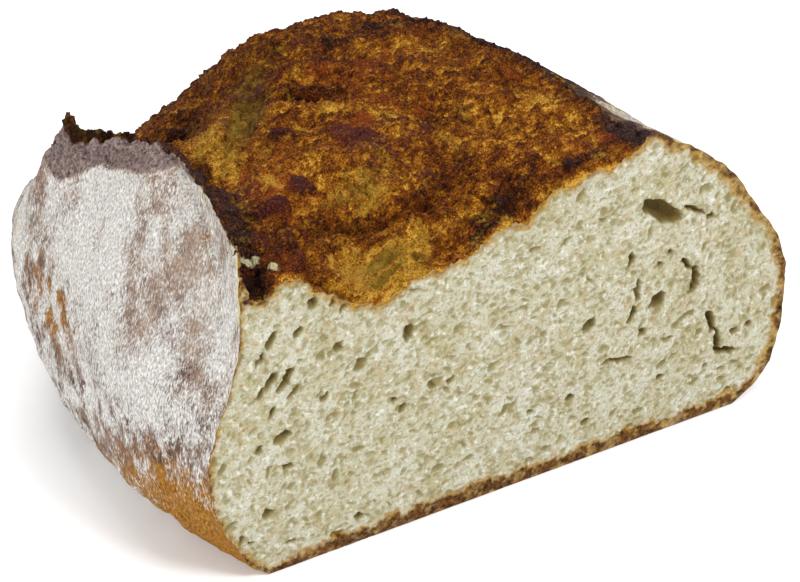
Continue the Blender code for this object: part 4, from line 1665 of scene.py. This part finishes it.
@dataclass
class Crust:
    """The whole crust: the torn top, the ear, the floured wall, the right shoulder and the base."""

    form: LoafForm = field(default_factory=LoafForm)
    relief: CrustRelief = field(default_factory=CrustRelief)
    stains: CrustStains = field(default_factory=CrustStains)
    base_columns: int = 64
    base_rise: float = 0.7
    base_rest: float = 0.6
    base_swell: Noise = Noise(16.0, 0.8, 3, 71)
    base_edge: Fade = Fade(0.0, 0.125)
    base_cut: Fade = Fade(0.0, 10.0)
    base_bake: float = 0.4
    base_baked: float = 0.31
    base_floured: float = 0.35
    base_flour: Noise = Noise(12.0, 0.4, 2, 76)
    grid: CrustGrid = field(init=False)
    normals: Array = field(init=False)
    paints: Paints = field(init=False)

    def __post_init__(self) -> None:
        """Work out the grid, its relief and its stains."""
        self.grid = CrustGrid.of(self.form)
        heights = self.relief.lay_on(self.grid, self.form)
        self.normals = self.grid.normals()
        self.paints = self.stains.paints(self.grid, heights)

    def sheet(self, name: str, stretches: Sequence[Stretch],
              material: bpy.types.Material) -> bpy.types.Object:
        """Make the piece of crust that neighbouring stretches cover.

        Args:
            name: The piece's name.
            stretches: The stretches, in their order.
            material: The piece's material.

        Returns:
            The object.
        """
        first = self.grid.columns[stretches[0]].start
        last = self.grid.columns[stretches[-1]].stop
        columns = slice(max(first - 1, 0), last)
        place = self.grid.place[:, columns]
        paints = {paint: values[:, columns] for paint, values in self.paints.items()}
        return self.woven(name, place, self.normals[:, columns], paints, material)

    def woven(self, name: str, place: Array, normals: Array, paints: Paints,
              material: bpy.types.Material) -> bpy.types.Object:
        """Make a piece from rows of points whose last row is one single point.

        Args:
            name: The piece's name.
            place: The points, one row a cross-section.
            normals: Their normals.
            paints: Their stains.
            material: The piece's material.

        Returns:
            The object.
        """
        rows, columns = place.shape[:2]
        index = np.arange((rows - 1) * columns).reshape(rows - 1, columns)
        quads = np.stack([index[:-1, :-1], index[:-1, 1:], index[1:, 1:], index[1:, :-1]], axis=-1)
        pole = np.full(columns - 1, (rows - 1) * columns)
        fan = np.stack([index[-1, :-1], index[-1, 1:], pole], axis=-1)

        def flat(values: Array) -> Array:
            """Return the points' values in one line, the last row as its middle value."""
            body = values[:-1].reshape((-1,) + values.shape[2:])
            return np.concatenate([body, values[-1, columns // 2][None]])

        spread = np.stack(np.meshgrid(np.linspace(0, 1, columns), np.linspace(0, 1, rows)), axis=-1)
        return make_piece(name, flat(place), (quads.reshape(-1, 4), fan), flat(spread),
                          {paint: flat(values) for paint, values in paints.items()}, material, flat(normals))

    def base(self, material: bpy.types.Material) -> bpy.types.Object:
        """Make the flat base, which meets the sides where they come down."""
        rows = self.form.base_rows()
        left = self.grid.place[:rows, self.grid.columns[Stretch.LOW_LEFT].start]
        right = self.grid.place[:rows, self.grid.columns[Stretch.LOW_RIGHT].stop - 1]
        t = np.linspace(0.0, 1.0, self.base_columns)[None, :, None]
        place = right[:, None] * (1.0 - t) + left[:, None] * t
        inner = self.base_edge.at(np.minimum(t, 1.0 - t)[..., 0]) * self.base_cut.at(place[..., 1])
        swell = self.base_swell.at(place)
        place[..., 2] = place[..., 2] + self.base_rise * inner * np.clip(self.base_rest + swell, 0.0, None)
        down = np.zeros_like(place)
        down[..., 2] = -1.0
        paints = {
            Paint.BAKE: self.base_bake + self.base_baked * swell,
            Paint.FLOUR: self.base_floured + self.base_flour.at(place),
        }
        return self.woven("base_crust", place, down, paints, material)

    def outline(self) -> Array:
        """Return the cut's outline over the crust, from the left end of the base to its right end."""
        return self.grid.place[0]

    def build(self) -> list[bpy.types.Object]:
        """Make every piece of crust."""
        floured = FLOURED_CRUST.material()
        torn = TORN_CRUST.material()
        return [
            self.sheet("floured_wall", (Stretch.LOW_LEFT, Stretch.WALL), floured),
            self.sheet("raised_ear", (Stretch.EAR,), torn),
            self.sheet("torn_top", (Stretch.TOP,), torn),
            self.sheet("right_shoulder", (Stretch.SHOULDER, Stretch.LOW_RIGHT), floured),
            self.base(BASE_CRUST.material()),
        ]


@dataclass(frozen=True)
class Pore:
    """One bubble that the knife opened: where it is, its half sizes, its turn in degrees and its depth."""

    across: float
    height: float
    half_long: float
    half_short: float
    turn: float
    depth: float


@dataclass(frozen=True)
class Scatter:
    """Many like bubbles, scattered over the cut.

    Attributes:
        count: How many there are.
        half: The least and the greatest half length.
        flat: The least and the greatest of width over length.
        deep: Depth over half length.
    """

    count: int
    half: tuple[float, float]
    flat: tuple[float, float]
    deep: float


@dataclass(frozen=True)
class Rim:
    """The crust where the knife went through it: its dark and golden widths, and how unbroken the dark is."""

    dark: float
    gold: float
    sound: float


@dataclass
class DepthField:
    """How deep the opened bubbles are, on a fine square grid over the cut.

    Attributes:
        low: The grid's lowest place across and height.
        step: The grid's spacing.
        depth: The depths, one row a place across.
    """

    low: tuple[float, float]
    step: float
    depth: Array

    def open(self, pore: Pore) -> None:
        """Open one bubble: steep at its edge and round at its foot."""
        reach = max(pore.half_long, pore.half_short) * 1.05
        first = [max(int((middle - reach - low) / self.step), 0)
                 for middle, low in zip((pore.across, pore.height), self.low)]
        count = int(2.0 * reach / self.step) + 2
        window = self.depth[first[0]:first[0] + count, first[1]:first[1] + count]
        if window.size == 0:
            return
        dx = self.low[0] + self.step * (first[0] + np.arange(window.shape[0])) - pore.across
        dz = self.low[1] + self.step * (first[1] + np.arange(window.shape[1])) - pore.height
        angle = math.radians(pore.turn)
        u = (dx[:, None] * math.cos(angle) + dz * math.sin(angle)) / pore.half_long
        v = (dz * math.cos(angle) - dx[:, None] * math.sin(angle)) / pore.half_short
        deep = pore.depth * np.sqrt(np.clip(1.0 - u * u - v * v, 0.0, 1.0))
        np.maximum(window, deep, out=window)

    def at(self, across: Array, height: Array) -> Array:
        """Return the depths at places on the cut, blended from the four nearest grid points."""
        u = (across - self.low[0]) / self.step
        v = (height - self.low[1]) / self.step
        i = np.clip(np.floor(u).astype(int), 0, self.depth.shape[0] - 2)
        j = np.clip(np.floor(v).astype(int), 0, self.depth.shape[1] - 2)
        u, v = u - i, v - j
        low = self.depth[i, j] * (1 - u) + self.depth[i + 1, j] * u
        high = self.depth[i, j + 1] * (1 - u) + self.depth[i + 1, j + 1] * u
        return low * (1 - v) + high * v


def inside_outline(points: Array, outline: Array) -> Array:
    """Return which points lie inside a closed outline.

    Args:
        points: Flat points, one a row.
        outline: The outline's corners, one a row.

    Returns:
        One truth a point.
    """
    inside = np.zeros(len(points), dtype=bool)
    for start, end in zip(outline, np.roll(outline, -1, axis=0)):
        if start[1] == end[1]:
            continue
        level = (start[1] <= points[:, 1]) != (end[1] <= points[:, 1])
        share = (points[:, 1] - start[1]) / (end[1] - start[1])
        inside ^= level & (start[0] + share * (end[0] - start[0]) < points[:, 0])
    return inside


@dataclass
class Crumb:
    """The cut face: the open crumb, with the crust's own thickness round it."""

    crust: Crust
    seed: int = 5
    spacing: float = 0.53
    inset: float = 0.30
    field_step: float = 0.25
    pores: Mapping[str, Pore] = field(default_factory=lambda: {
        "great hole": Pore(51.7, 88.2, 9.6, 3.3, -33, 5.5),
        "slit by the great hole": Pore(65, 84.5, 5.2, 0.8, -32, 2.6),
        "pocket at the slit's end": Pore(71.6, 80.5, 2.2, 1.4, -15, 3.0),
        "crescent, upper": Pore(63.5, 64.5, 3.4, 1.3, -45, 3.5),
        "crescent, lower": Pore(67.6, 58.5, 4.8, 1.6, -78, 4.2),
        "crescent, foot": Pore(66.6, 54.0, 1.8, 1.5, 30, 4.0),
        "groove": Pore(44.5, 61, 4.4, 0.9, 88, 2.2),
        "groove, upper": Pore(40.6, 73, 3.6, 1.2, 80, 2.2),
        "hole under the groove": Pore(42.8, 51.9, 3.0, 1.7, 75, 4.0),
        "foot of the groove": Pore(47.2, 43.2, 1.9, 1.5, 0, 2.6),
        "round hole": Pore(52.5, 54.5, 3.3, 2.8, 40, 4.0),
        "left hole": Pore(26.0, 52.9, 2.8, 2.3, 50, 3.2),
        "long crack, upper": Pore(76.0, 38.0, 5.0, 1.3, 110, 4.0),
        "long crack, lower": Pore(79.2, 29.5, 5.2, 1.5, 100, 4.6),
        "long crack, foot": Pore(83.2, 23.8, 5.0, 1.7, -12, 4.4),
        "pore by the crack": Pore(91.8, 31.9, 1.5, 1.2, 40, 2.2),
        "second pore by the crack": Pore(86.4, 30.9, 1.6, 1.1, -30, 2.2),
        "flat slit": Pore(38.3, 35.6, 6.6, 0.9, -8, 2.4),
        "pore under the crack": Pore(74.8, 20.5, 1.8, 1.0, 10, 2.4),
        "low pore": Pore(56.0, 22.7, 1.8, 1.1, 0, 2.0),
        "faint hollow": Pore(65.5, 44.3, 2.6, 1.2, 20, 1.4),
        "second faint hollow": Pore(58.0, 36.9, 2.0, 1.1, 0, 1.4),
        "high pore": Pore(56.2, 71.7, 1.7, 1.0, 20, 1.8),
        "second high pore": Pore(52.6, 67.9, 1.4, 1.0, 0, 1.6),
        "left slanted, first": Pore(-86.8, 85.7, 3.2, 1.1, 65, 2.6),
        "left slanted, second": Pore(-90.6, 80.0, 3.0, 1.0, 60, 2.4),
        "left slanted, third": Pore(-87.6, 71.5, 3.4, 1.3, 58, 3.0),
        "left slanted, fourth": Pore(-82.8, 70.5, 4.4, 1.5, 60, 3.2),
        "left slanted, fifth": Pore(-90.7, 68.3, 2.4, 1.0, 50, 2.2),
        "left slanted, sixth": Pore(-80.3, 65.2, 2.6, 1.3, 40, 2.4),
        "left pore": Pore(-70.3, 60.2, 1.8, 1.2, 20, 2.0),
        "left low slit": Pore(-87.7, 60.3, 2.4, 1.0, 55, 2.2),
        "left high": Pore(-78.0, 85.9, 2.2, 1.2, 45, 2.4),
        "shallow triangle": Pore(-57.6, 67.4, 3.2, 2.0, 40, 1.8),
        "middle hole": Pore(-41.0, 73.0, 2.9, 1.5, 80, 3.2),
        "left of the middle hole": Pore(-65.3, 76.2, 1.8, 1.2, 0, 2.0),
        "low middle": Pore(-43.1, 45.8, 1.8, 1.1, 30, 2.2),
        "top left hole": Pore(-73.2, 94.2, 2.6, 1.9, 60, 2.6),
        "top left pore": Pore(-67.0, 92.0, 1.6, 1.2, 40, 2.0),
        "second top left pore": Pore(-62.7, 89.2, 1.8, 1.1, 30, 2.0),
        "left low hole": Pore(-84.1, 49.7, 2.8, 2.0, 20, 3.0),
        "left edge pore": Pore(-92.5, 48.1, 1.7, 1.0, 60, 2.0),
        "left foot pore": Pore(-82.8, 38.7, 2.0, 1.2, 20, 2.2),
        "left foot, lower": Pore(-90.1, 23.5, 2.2, 1.2, 10, 2.2),
        "corner pore": Pore(-100.0, 16.4, 1.5, 1.0, 60, 1.8),
        "second corner pore": Pore(-96.6, 14.6, 1.3, 1.0, 0, 1.6),
        "middle pore": Pore(-25.9, 51.0, 1.7, 1.0, 10, 2.2),
        "second middle pore": Pore(-32.4, 51.0, 1.5, 1.0, 50, 2.0),
        "third middle pore": Pore(-45.6, 49.7, 1.4, 1.0, 0, 1.8),
        "low dark pore": Pore(19.7, 26.8, 1.5, 1.1, 0, 2.6),
        "low right pore": Pore(26.6, 14.9, 1.8, 0.9, 10, 2.0),
        "low centre pore": Pore(4.5, 27.5, 1.6, 1.0, -20, 2.0),
        "crust hollow, left": Pore(-82.7, 9.4, 2.4, 0.9, 10, 2.0),
        "crust hollow, second": Pore(-67.0, 5.6, 2.6, 1.1, 0, 2.4),
        "crust hollow, third": Pore(-58.7, 9.6, 1.8, 1.1, 0, 2.0),
        "crust hollow, right": Pore(85.6, 6.2, 2.0, 1.1, 10, 2.4),
    })
    scatters: tuple[Scatter, ...] = (
        Scatter(9000, (0.40, 0.85), (0.45, 1.0), 0.42),
        Scatter(1900, (0.8, 1.5), (0.35, 0.8), 0.42),
        Scatter(180, (1.5, 2.8), (0.3, 0.65), 0.38),
    )
    rims: Mapping[Stretch, Rim] = field(default_factory=lambda: {
        Stretch.LOW_LEFT: Rim(0.6, 2.4, 0.8),
        Stretch.WALL: Rim(0.5, 1.8, 0.8),
        Stretch.EAR: Rim(1.2, 2.0, 1.0),
        Stretch.TOP: Rim(0.2, 2.4, 0.5),
        Stretch.SHOULDER: Rim(2.3, 4.2, 0.62),
        Stretch.LOW_RIGHT: Rim(2.4, 4.6, 0.5),
    })
    base_rim: Rim = Rim(4.4, 6.0, 1.0)
    rim_blend: int = 12
    rim_waves: Noise = Noise(6.0, 0.35, 3, 65)
    fray: tuple[Noise, ...] = (Noise(1.6, 0.8, 1, 45), Noise(3.5, 0.5, 1, 46))
    breaks: Noise = Noise(2.4, 0.9, 3, 49)
    dark_fray: float = 0.6
    dark_edge: Fade = Fade(-0.5, 1.0)
    gold_edge: Fade = Fade(-0.72, 2.4)
    gold_most: float = 0.8
    rough: Noise = Noise(1.7, 0.15, 2, 35)
    # How much the fine roughness lightens the painted shade in the bubbles.
    rough_shade: float = 0.10
    warps: tuple[Noise, ...] = (Noise(2.6, 0.75, 2, 55), Noise(2.6, 0.75, 2, 58))
    sunk: float = 0.15
    sunk_edge: Fade = Fade(0.0, 1.2)
    # The painted shade in the bubbles is full at this depth, and follows this curve.
    full_shade_depth: float = 3.0
    shade_curve: float = 0.7
    field_low: Place = (-118.0, 0.0)
    field_size: Place = (232.0, 130.0)
    scatter_low: Place = (-114.0, 3.0)
    scatter_high: Place = (110.0, 119.0)
    turn_spread: float = 28.0
    lean_left: float = 62.0
    lean_right: float = 98.0
    steep_side: Fade = Fade(25.0, 100.0 / 1.4)
    steep_height: Fade = Fade(8.0, 26.0)

    def flow(self, across: float, height: float) -> float:
        """Return which way bubbles stretch, in degrees: flat near the base, steep near the sides."""
        lean = self.lean_left if across < 0 else self.lean_right
        return float(lean * self.steep_side.at(abs(across)) * self.steep_height.at(height))

    def depth_field(self) -> DepthField:
        """Return the field of all opened bubbles."""
        shape = tuple(int(size / self.field_step) for size in self.field_size)
        made = DepthField(self.field_low, self.field_step, np.zeros(shape))
        rng = np.random.default_rng(self.seed)
        for scatter in self.scatters:
            places = rng.uniform(self.scatter_low, self.scatter_high, (scatter.count, 2))
            halves = rng.uniform(*scatter.half, scatter.count)
            flats = rng.uniform(*scatter.flat, scatter.count)
            turns = rng.normal(0.0, self.turn_spread, scatter.count)
            for (across, height), half, flat, turn in zip(places, halves, flats, turns):
                lean = self.flow(across, height) + turn
                made.open(Pore(across, height, half, half * flat, lean, half * scatter.deep))
        for pore in self.pores.values():
            made.open(pore)
        return made

    def border(self) -> Array:
        """Return the closed outline of the cut as places across and heights."""
        over = self.crust.outline()[:, (0, 2)]
        t = np.linspace(0.0, 1.0, self.crust.base_columns)[1:-1, None]
        return np.concatenate([over, over[-1] * (1.0 - t) + over[0] * t])

    def filling(self, border: Array) -> Array:
        """Return evenly spaced points inside the outline."""
        low, high = border.min(axis=0), border.max(axis=0)
        step = self.spacing * math.sqrt(0.75)
        rows = np.arange(low[1], high[1], step)
        points = []
        closed = np.concatenate([border, border[:1]])
        for i, height in enumerate(rows):
            start, end = closed[:-1], closed[1:]
            crossing = (start[:, 1] <= height) != (end[:, 1] <= height)
            share = (height - start[crossing, 1]) / (end[crossing, 1] - start[crossing, 1])
            cuts = np.sort(start[crossing, 0] + share * (end[crossing, 0] - start[crossing, 0]))
            for left, right in zip(cuts[::2], cuts[1::2]):
                across = np.arange(low[0] + (i % 2) * self.spacing / 2, high[0], self.spacing)
                across = across[(across > left) & (across < right)]
                points.append(np.stack([across, np.full_like(across, height)], axis=-1))
        return np.concatenate(points)

    def distances(self, points: Array, border: Array) -> tuple[Array, Array]:
        """Return each point's distance to the outline and the number of the nearest outline point."""
        tree = kdtree.KDTree(len(border))
        for i, (across, height) in enumerate(border):
            tree.insert((across, height, 0.0), i)
        tree.balance()
        found = [tree.find((across, height, 0.0)) for across, height in points]
        return np.array([one[2] for one in found]), np.array([one[1] for one in found])

    def rim_along(self, border: Array) -> Array:
        """Return the cut crust's dark width, golden width and soundness, one row an outline point."""
        columns = self.crust.grid.columns
        table = np.empty((len(border), 3))
        table[:] = (self.base_rim.dark, self.base_rim.gold, self.base_rim.sound)
        for stretch, rim in self.rims.items():
            table[columns[stretch]] = (rim.dark, rim.gold, rim.sound)
        along = np.stack([border[:, 0], np.zeros(len(border)), border[:, 1]], axis=-1)
        wave = 1.0 + self.rim_waves.at(along)
        reach = self.rim_blend
        kernel = np.ones(2 * reach + 1) / (2 * reach + 1)
        for column in range(3):
            values = table[:, column]
            padded = np.concatenate([values[-reach:], values, values[:reach]])
            table[:, column] = np.convolve(padded, kernel, "valid")
        table[:, :2] *= wave[:, None]
        return table

    def build(self, material: bpy.types.Material) -> bpy.types.Object:
        """Make the cut face."""
        border = self.border()
        inside = self.filling(border)
        far, _ = self.distances(inside, border)
        inside = inside[far > self.inset]
        flat = [Vector((float(x), float(z))) for x, z in np.concatenate([border, inside])]
        count = len(border)
        edges = [(i, (i + 1) % count) for i in range(count)]
        solved = geometry.delaunay_2d_cdt(flat, edges, [], 1, TINY, False)
        points = np.array([(one.x, one.y) for one in solved[0]])
        faces = np.array(solved[2], dtype=np.int64)
        across, height = points[:, 0], points[:, 1]
        corner = points[faces]
        turn = np.cross(corner[:, 1] - corner[:, 0], corner[:, 2] - corner[:, 0])
        faces[turn < 0] = faces[turn < 0][:, ::-1]
        faces = faces[inside_outline(corner.mean(axis=1), border) & (np.abs(turn) > TINY)]

        far, nearest = self.distances(points, border)
        place = np.stack([across, np.zeros_like(across), height], axis=-1)
        warps = [warp.at(place) for warp in self.warps]
        depth = self.depth_field().at(across + warps[0], height + warps[1])
        rough = self.rough.at(place)
        place[:, 1] = np.maximum((depth + rough + self.sunk) * self.sunk_edge.at(far), 0.0)
        dark, gold, sound = self.rim_along(border)[nearest].T
        fray = heaped(self.fray, place)
        broken = np.clip(sound + self.breaks.at(place), 0.0, 1.0)
        # Painted shade in the bubbles: the deeper the bubble, the darker the crumb, a little lighter on
        # raised roughness.
        deep = np.clip(depth / self.full_shade_depth, 0.0, 1.0) ** self.shade_curve
        paints = {
            Paint.PORE: deep - self.rough_shade * rough,
            Paint.RIM_DARK: self.dark_edge.at(dark - far + self.dark_fray * fray) * broken,
            Paint.RIM_GOLD: self.gold_edge.at(gold - far + fray) * self.gold_most,
        }
        spread = (points - points.min(axis=0)) / (np.ptp(points, axis=0).max())
        return make_piece("crumb_face", place, (faces,), spread, paints, material)


# The studio


@dataclass(frozen=True)
class Lamp:
    """One soft square lamp: where it stands, its size and its power, in metres and watts."""

    name: str
    place: tuple[float, float, float]
    size: float
    power: float


@dataclass(frozen=True)
class Studio:
    """A pale floor, soft white light and a camera at the photograph's angle."""

    azimuth: float = -30.0
    elevation: float = 33.0
    distance: float = 700.0
    target: tuple[float, float, float] = (-2.523, -35.0, 44.402)
    lens: float = 93.862
    sensor: float = 36.0
    floor_half: float = 3.0
    floor_drop: float = 0.4
    floor_colour: str = "#F7F7F7"
    world_colour: str = "#FFFFFF"
    world_strength: float = 0.6
    aim: tuple[float, float, float] = (0.0, 0.0, 0.06)
    lamps: tuple[Lamp, ...] = (
        Lamp("key", (0.7, -1.4, 1.6), 0.7, 34.0),
        Lamp("fill", (-1.5, -0.9, 1.0), 1.0, 20.0),
        Lamp("top", (0.1, 0.9, 1.7), 0.9, 16.0),
    )

    def build_camera(self) -> None:
        """Make the camera and aim it."""
        data = bpy.data.cameras.new("camera")
        data.lens = self.lens
        data.sensor_width = self.sensor
        camera = bpy.data.objects.new("camera", data)
        bpy.context.scene.collection.objects.link(camera)
        turn, rise = math.radians(self.azimuth), math.radians(self.elevation)
        back = Vector((math.sin(turn) * math.cos(rise), -math.cos(turn) * math.cos(rise), math.sin(rise)))
        camera.location = (Vector(self.target) + back * self.distance) * MM
        camera.rotation_mode = "QUATERNION"
        camera.rotation_quaternion = (-back).to_track_quat("-Z", "Y")
        bpy.context.scene.camera = camera

    def build_floor(self) -> None:
        """Make the floor just under the base."""
        half = self.floor_half
        mesh = bpy.data.meshes.new("floor")
        corners = [(-half, -half), (half, -half), (half, half), (-half, half)]
        mesh.from_pydata([(x, y, -self.floor_drop * MM) for x, y in corners], [], [(0, 1, 2, 3)])
        material = bpy.data.materials.new("matt_paper")
        material.use_nodes = True
        shader = material.node_tree.nodes["Principled BSDF"]
        shader.inputs["Base Color"].default_value = linear(self.floor_colour)
        shader.inputs["Roughness"].default_value = 0.9
        mesh.materials.append(material)
        floor = bpy.data.objects.new("floor", mesh)
        bpy.context.scene.collection.objects.link(floor)

    def build_light(self) -> None:
        """Make the lamps and the white surroundings."""
        for lamp in self.lamps:
            data = bpy.data.lights.new(lamp.name, "AREA")
            data.size = lamp.size
            data.energy = lamp.power
            light = bpy.data.objects.new(lamp.name, data)
            light.location = lamp.place
            light.rotation_mode = "QUATERNION"
            light.rotation_quaternion = (Vector(self.aim) - Vector(lamp.place)).to_track_quat("-Z", "Y")
            bpy.context.scene.collection.objects.link(light)
        world = bpy.data.worlds.new("studio")
        world.use_nodes = True
        shader = world.node_tree.nodes["Background"]
        shader.inputs["Color"].default_value = linear(self.world_colour)
        shader.inputs["Strength"].default_value = self.world_strength
        bpy.context.scene.world = world
        bpy.context.scene.view_settings.view_transform = "Standard"

    def build(self) -> None:
        """Make the whole studio."""
        self.build_camera()
        self.build_floor()
        self.build_light()


def main() -> None:
    """Build the studio and the loaf, and report each piece."""
    logging.basicConfig(level=logging.INFO, format="%(message)s")
    Studio().build()
    crust = Crust()
    crust.build()
    Crumb(crust).build(CrumbFinish().material())


if __name__ == "__main__":
    main()
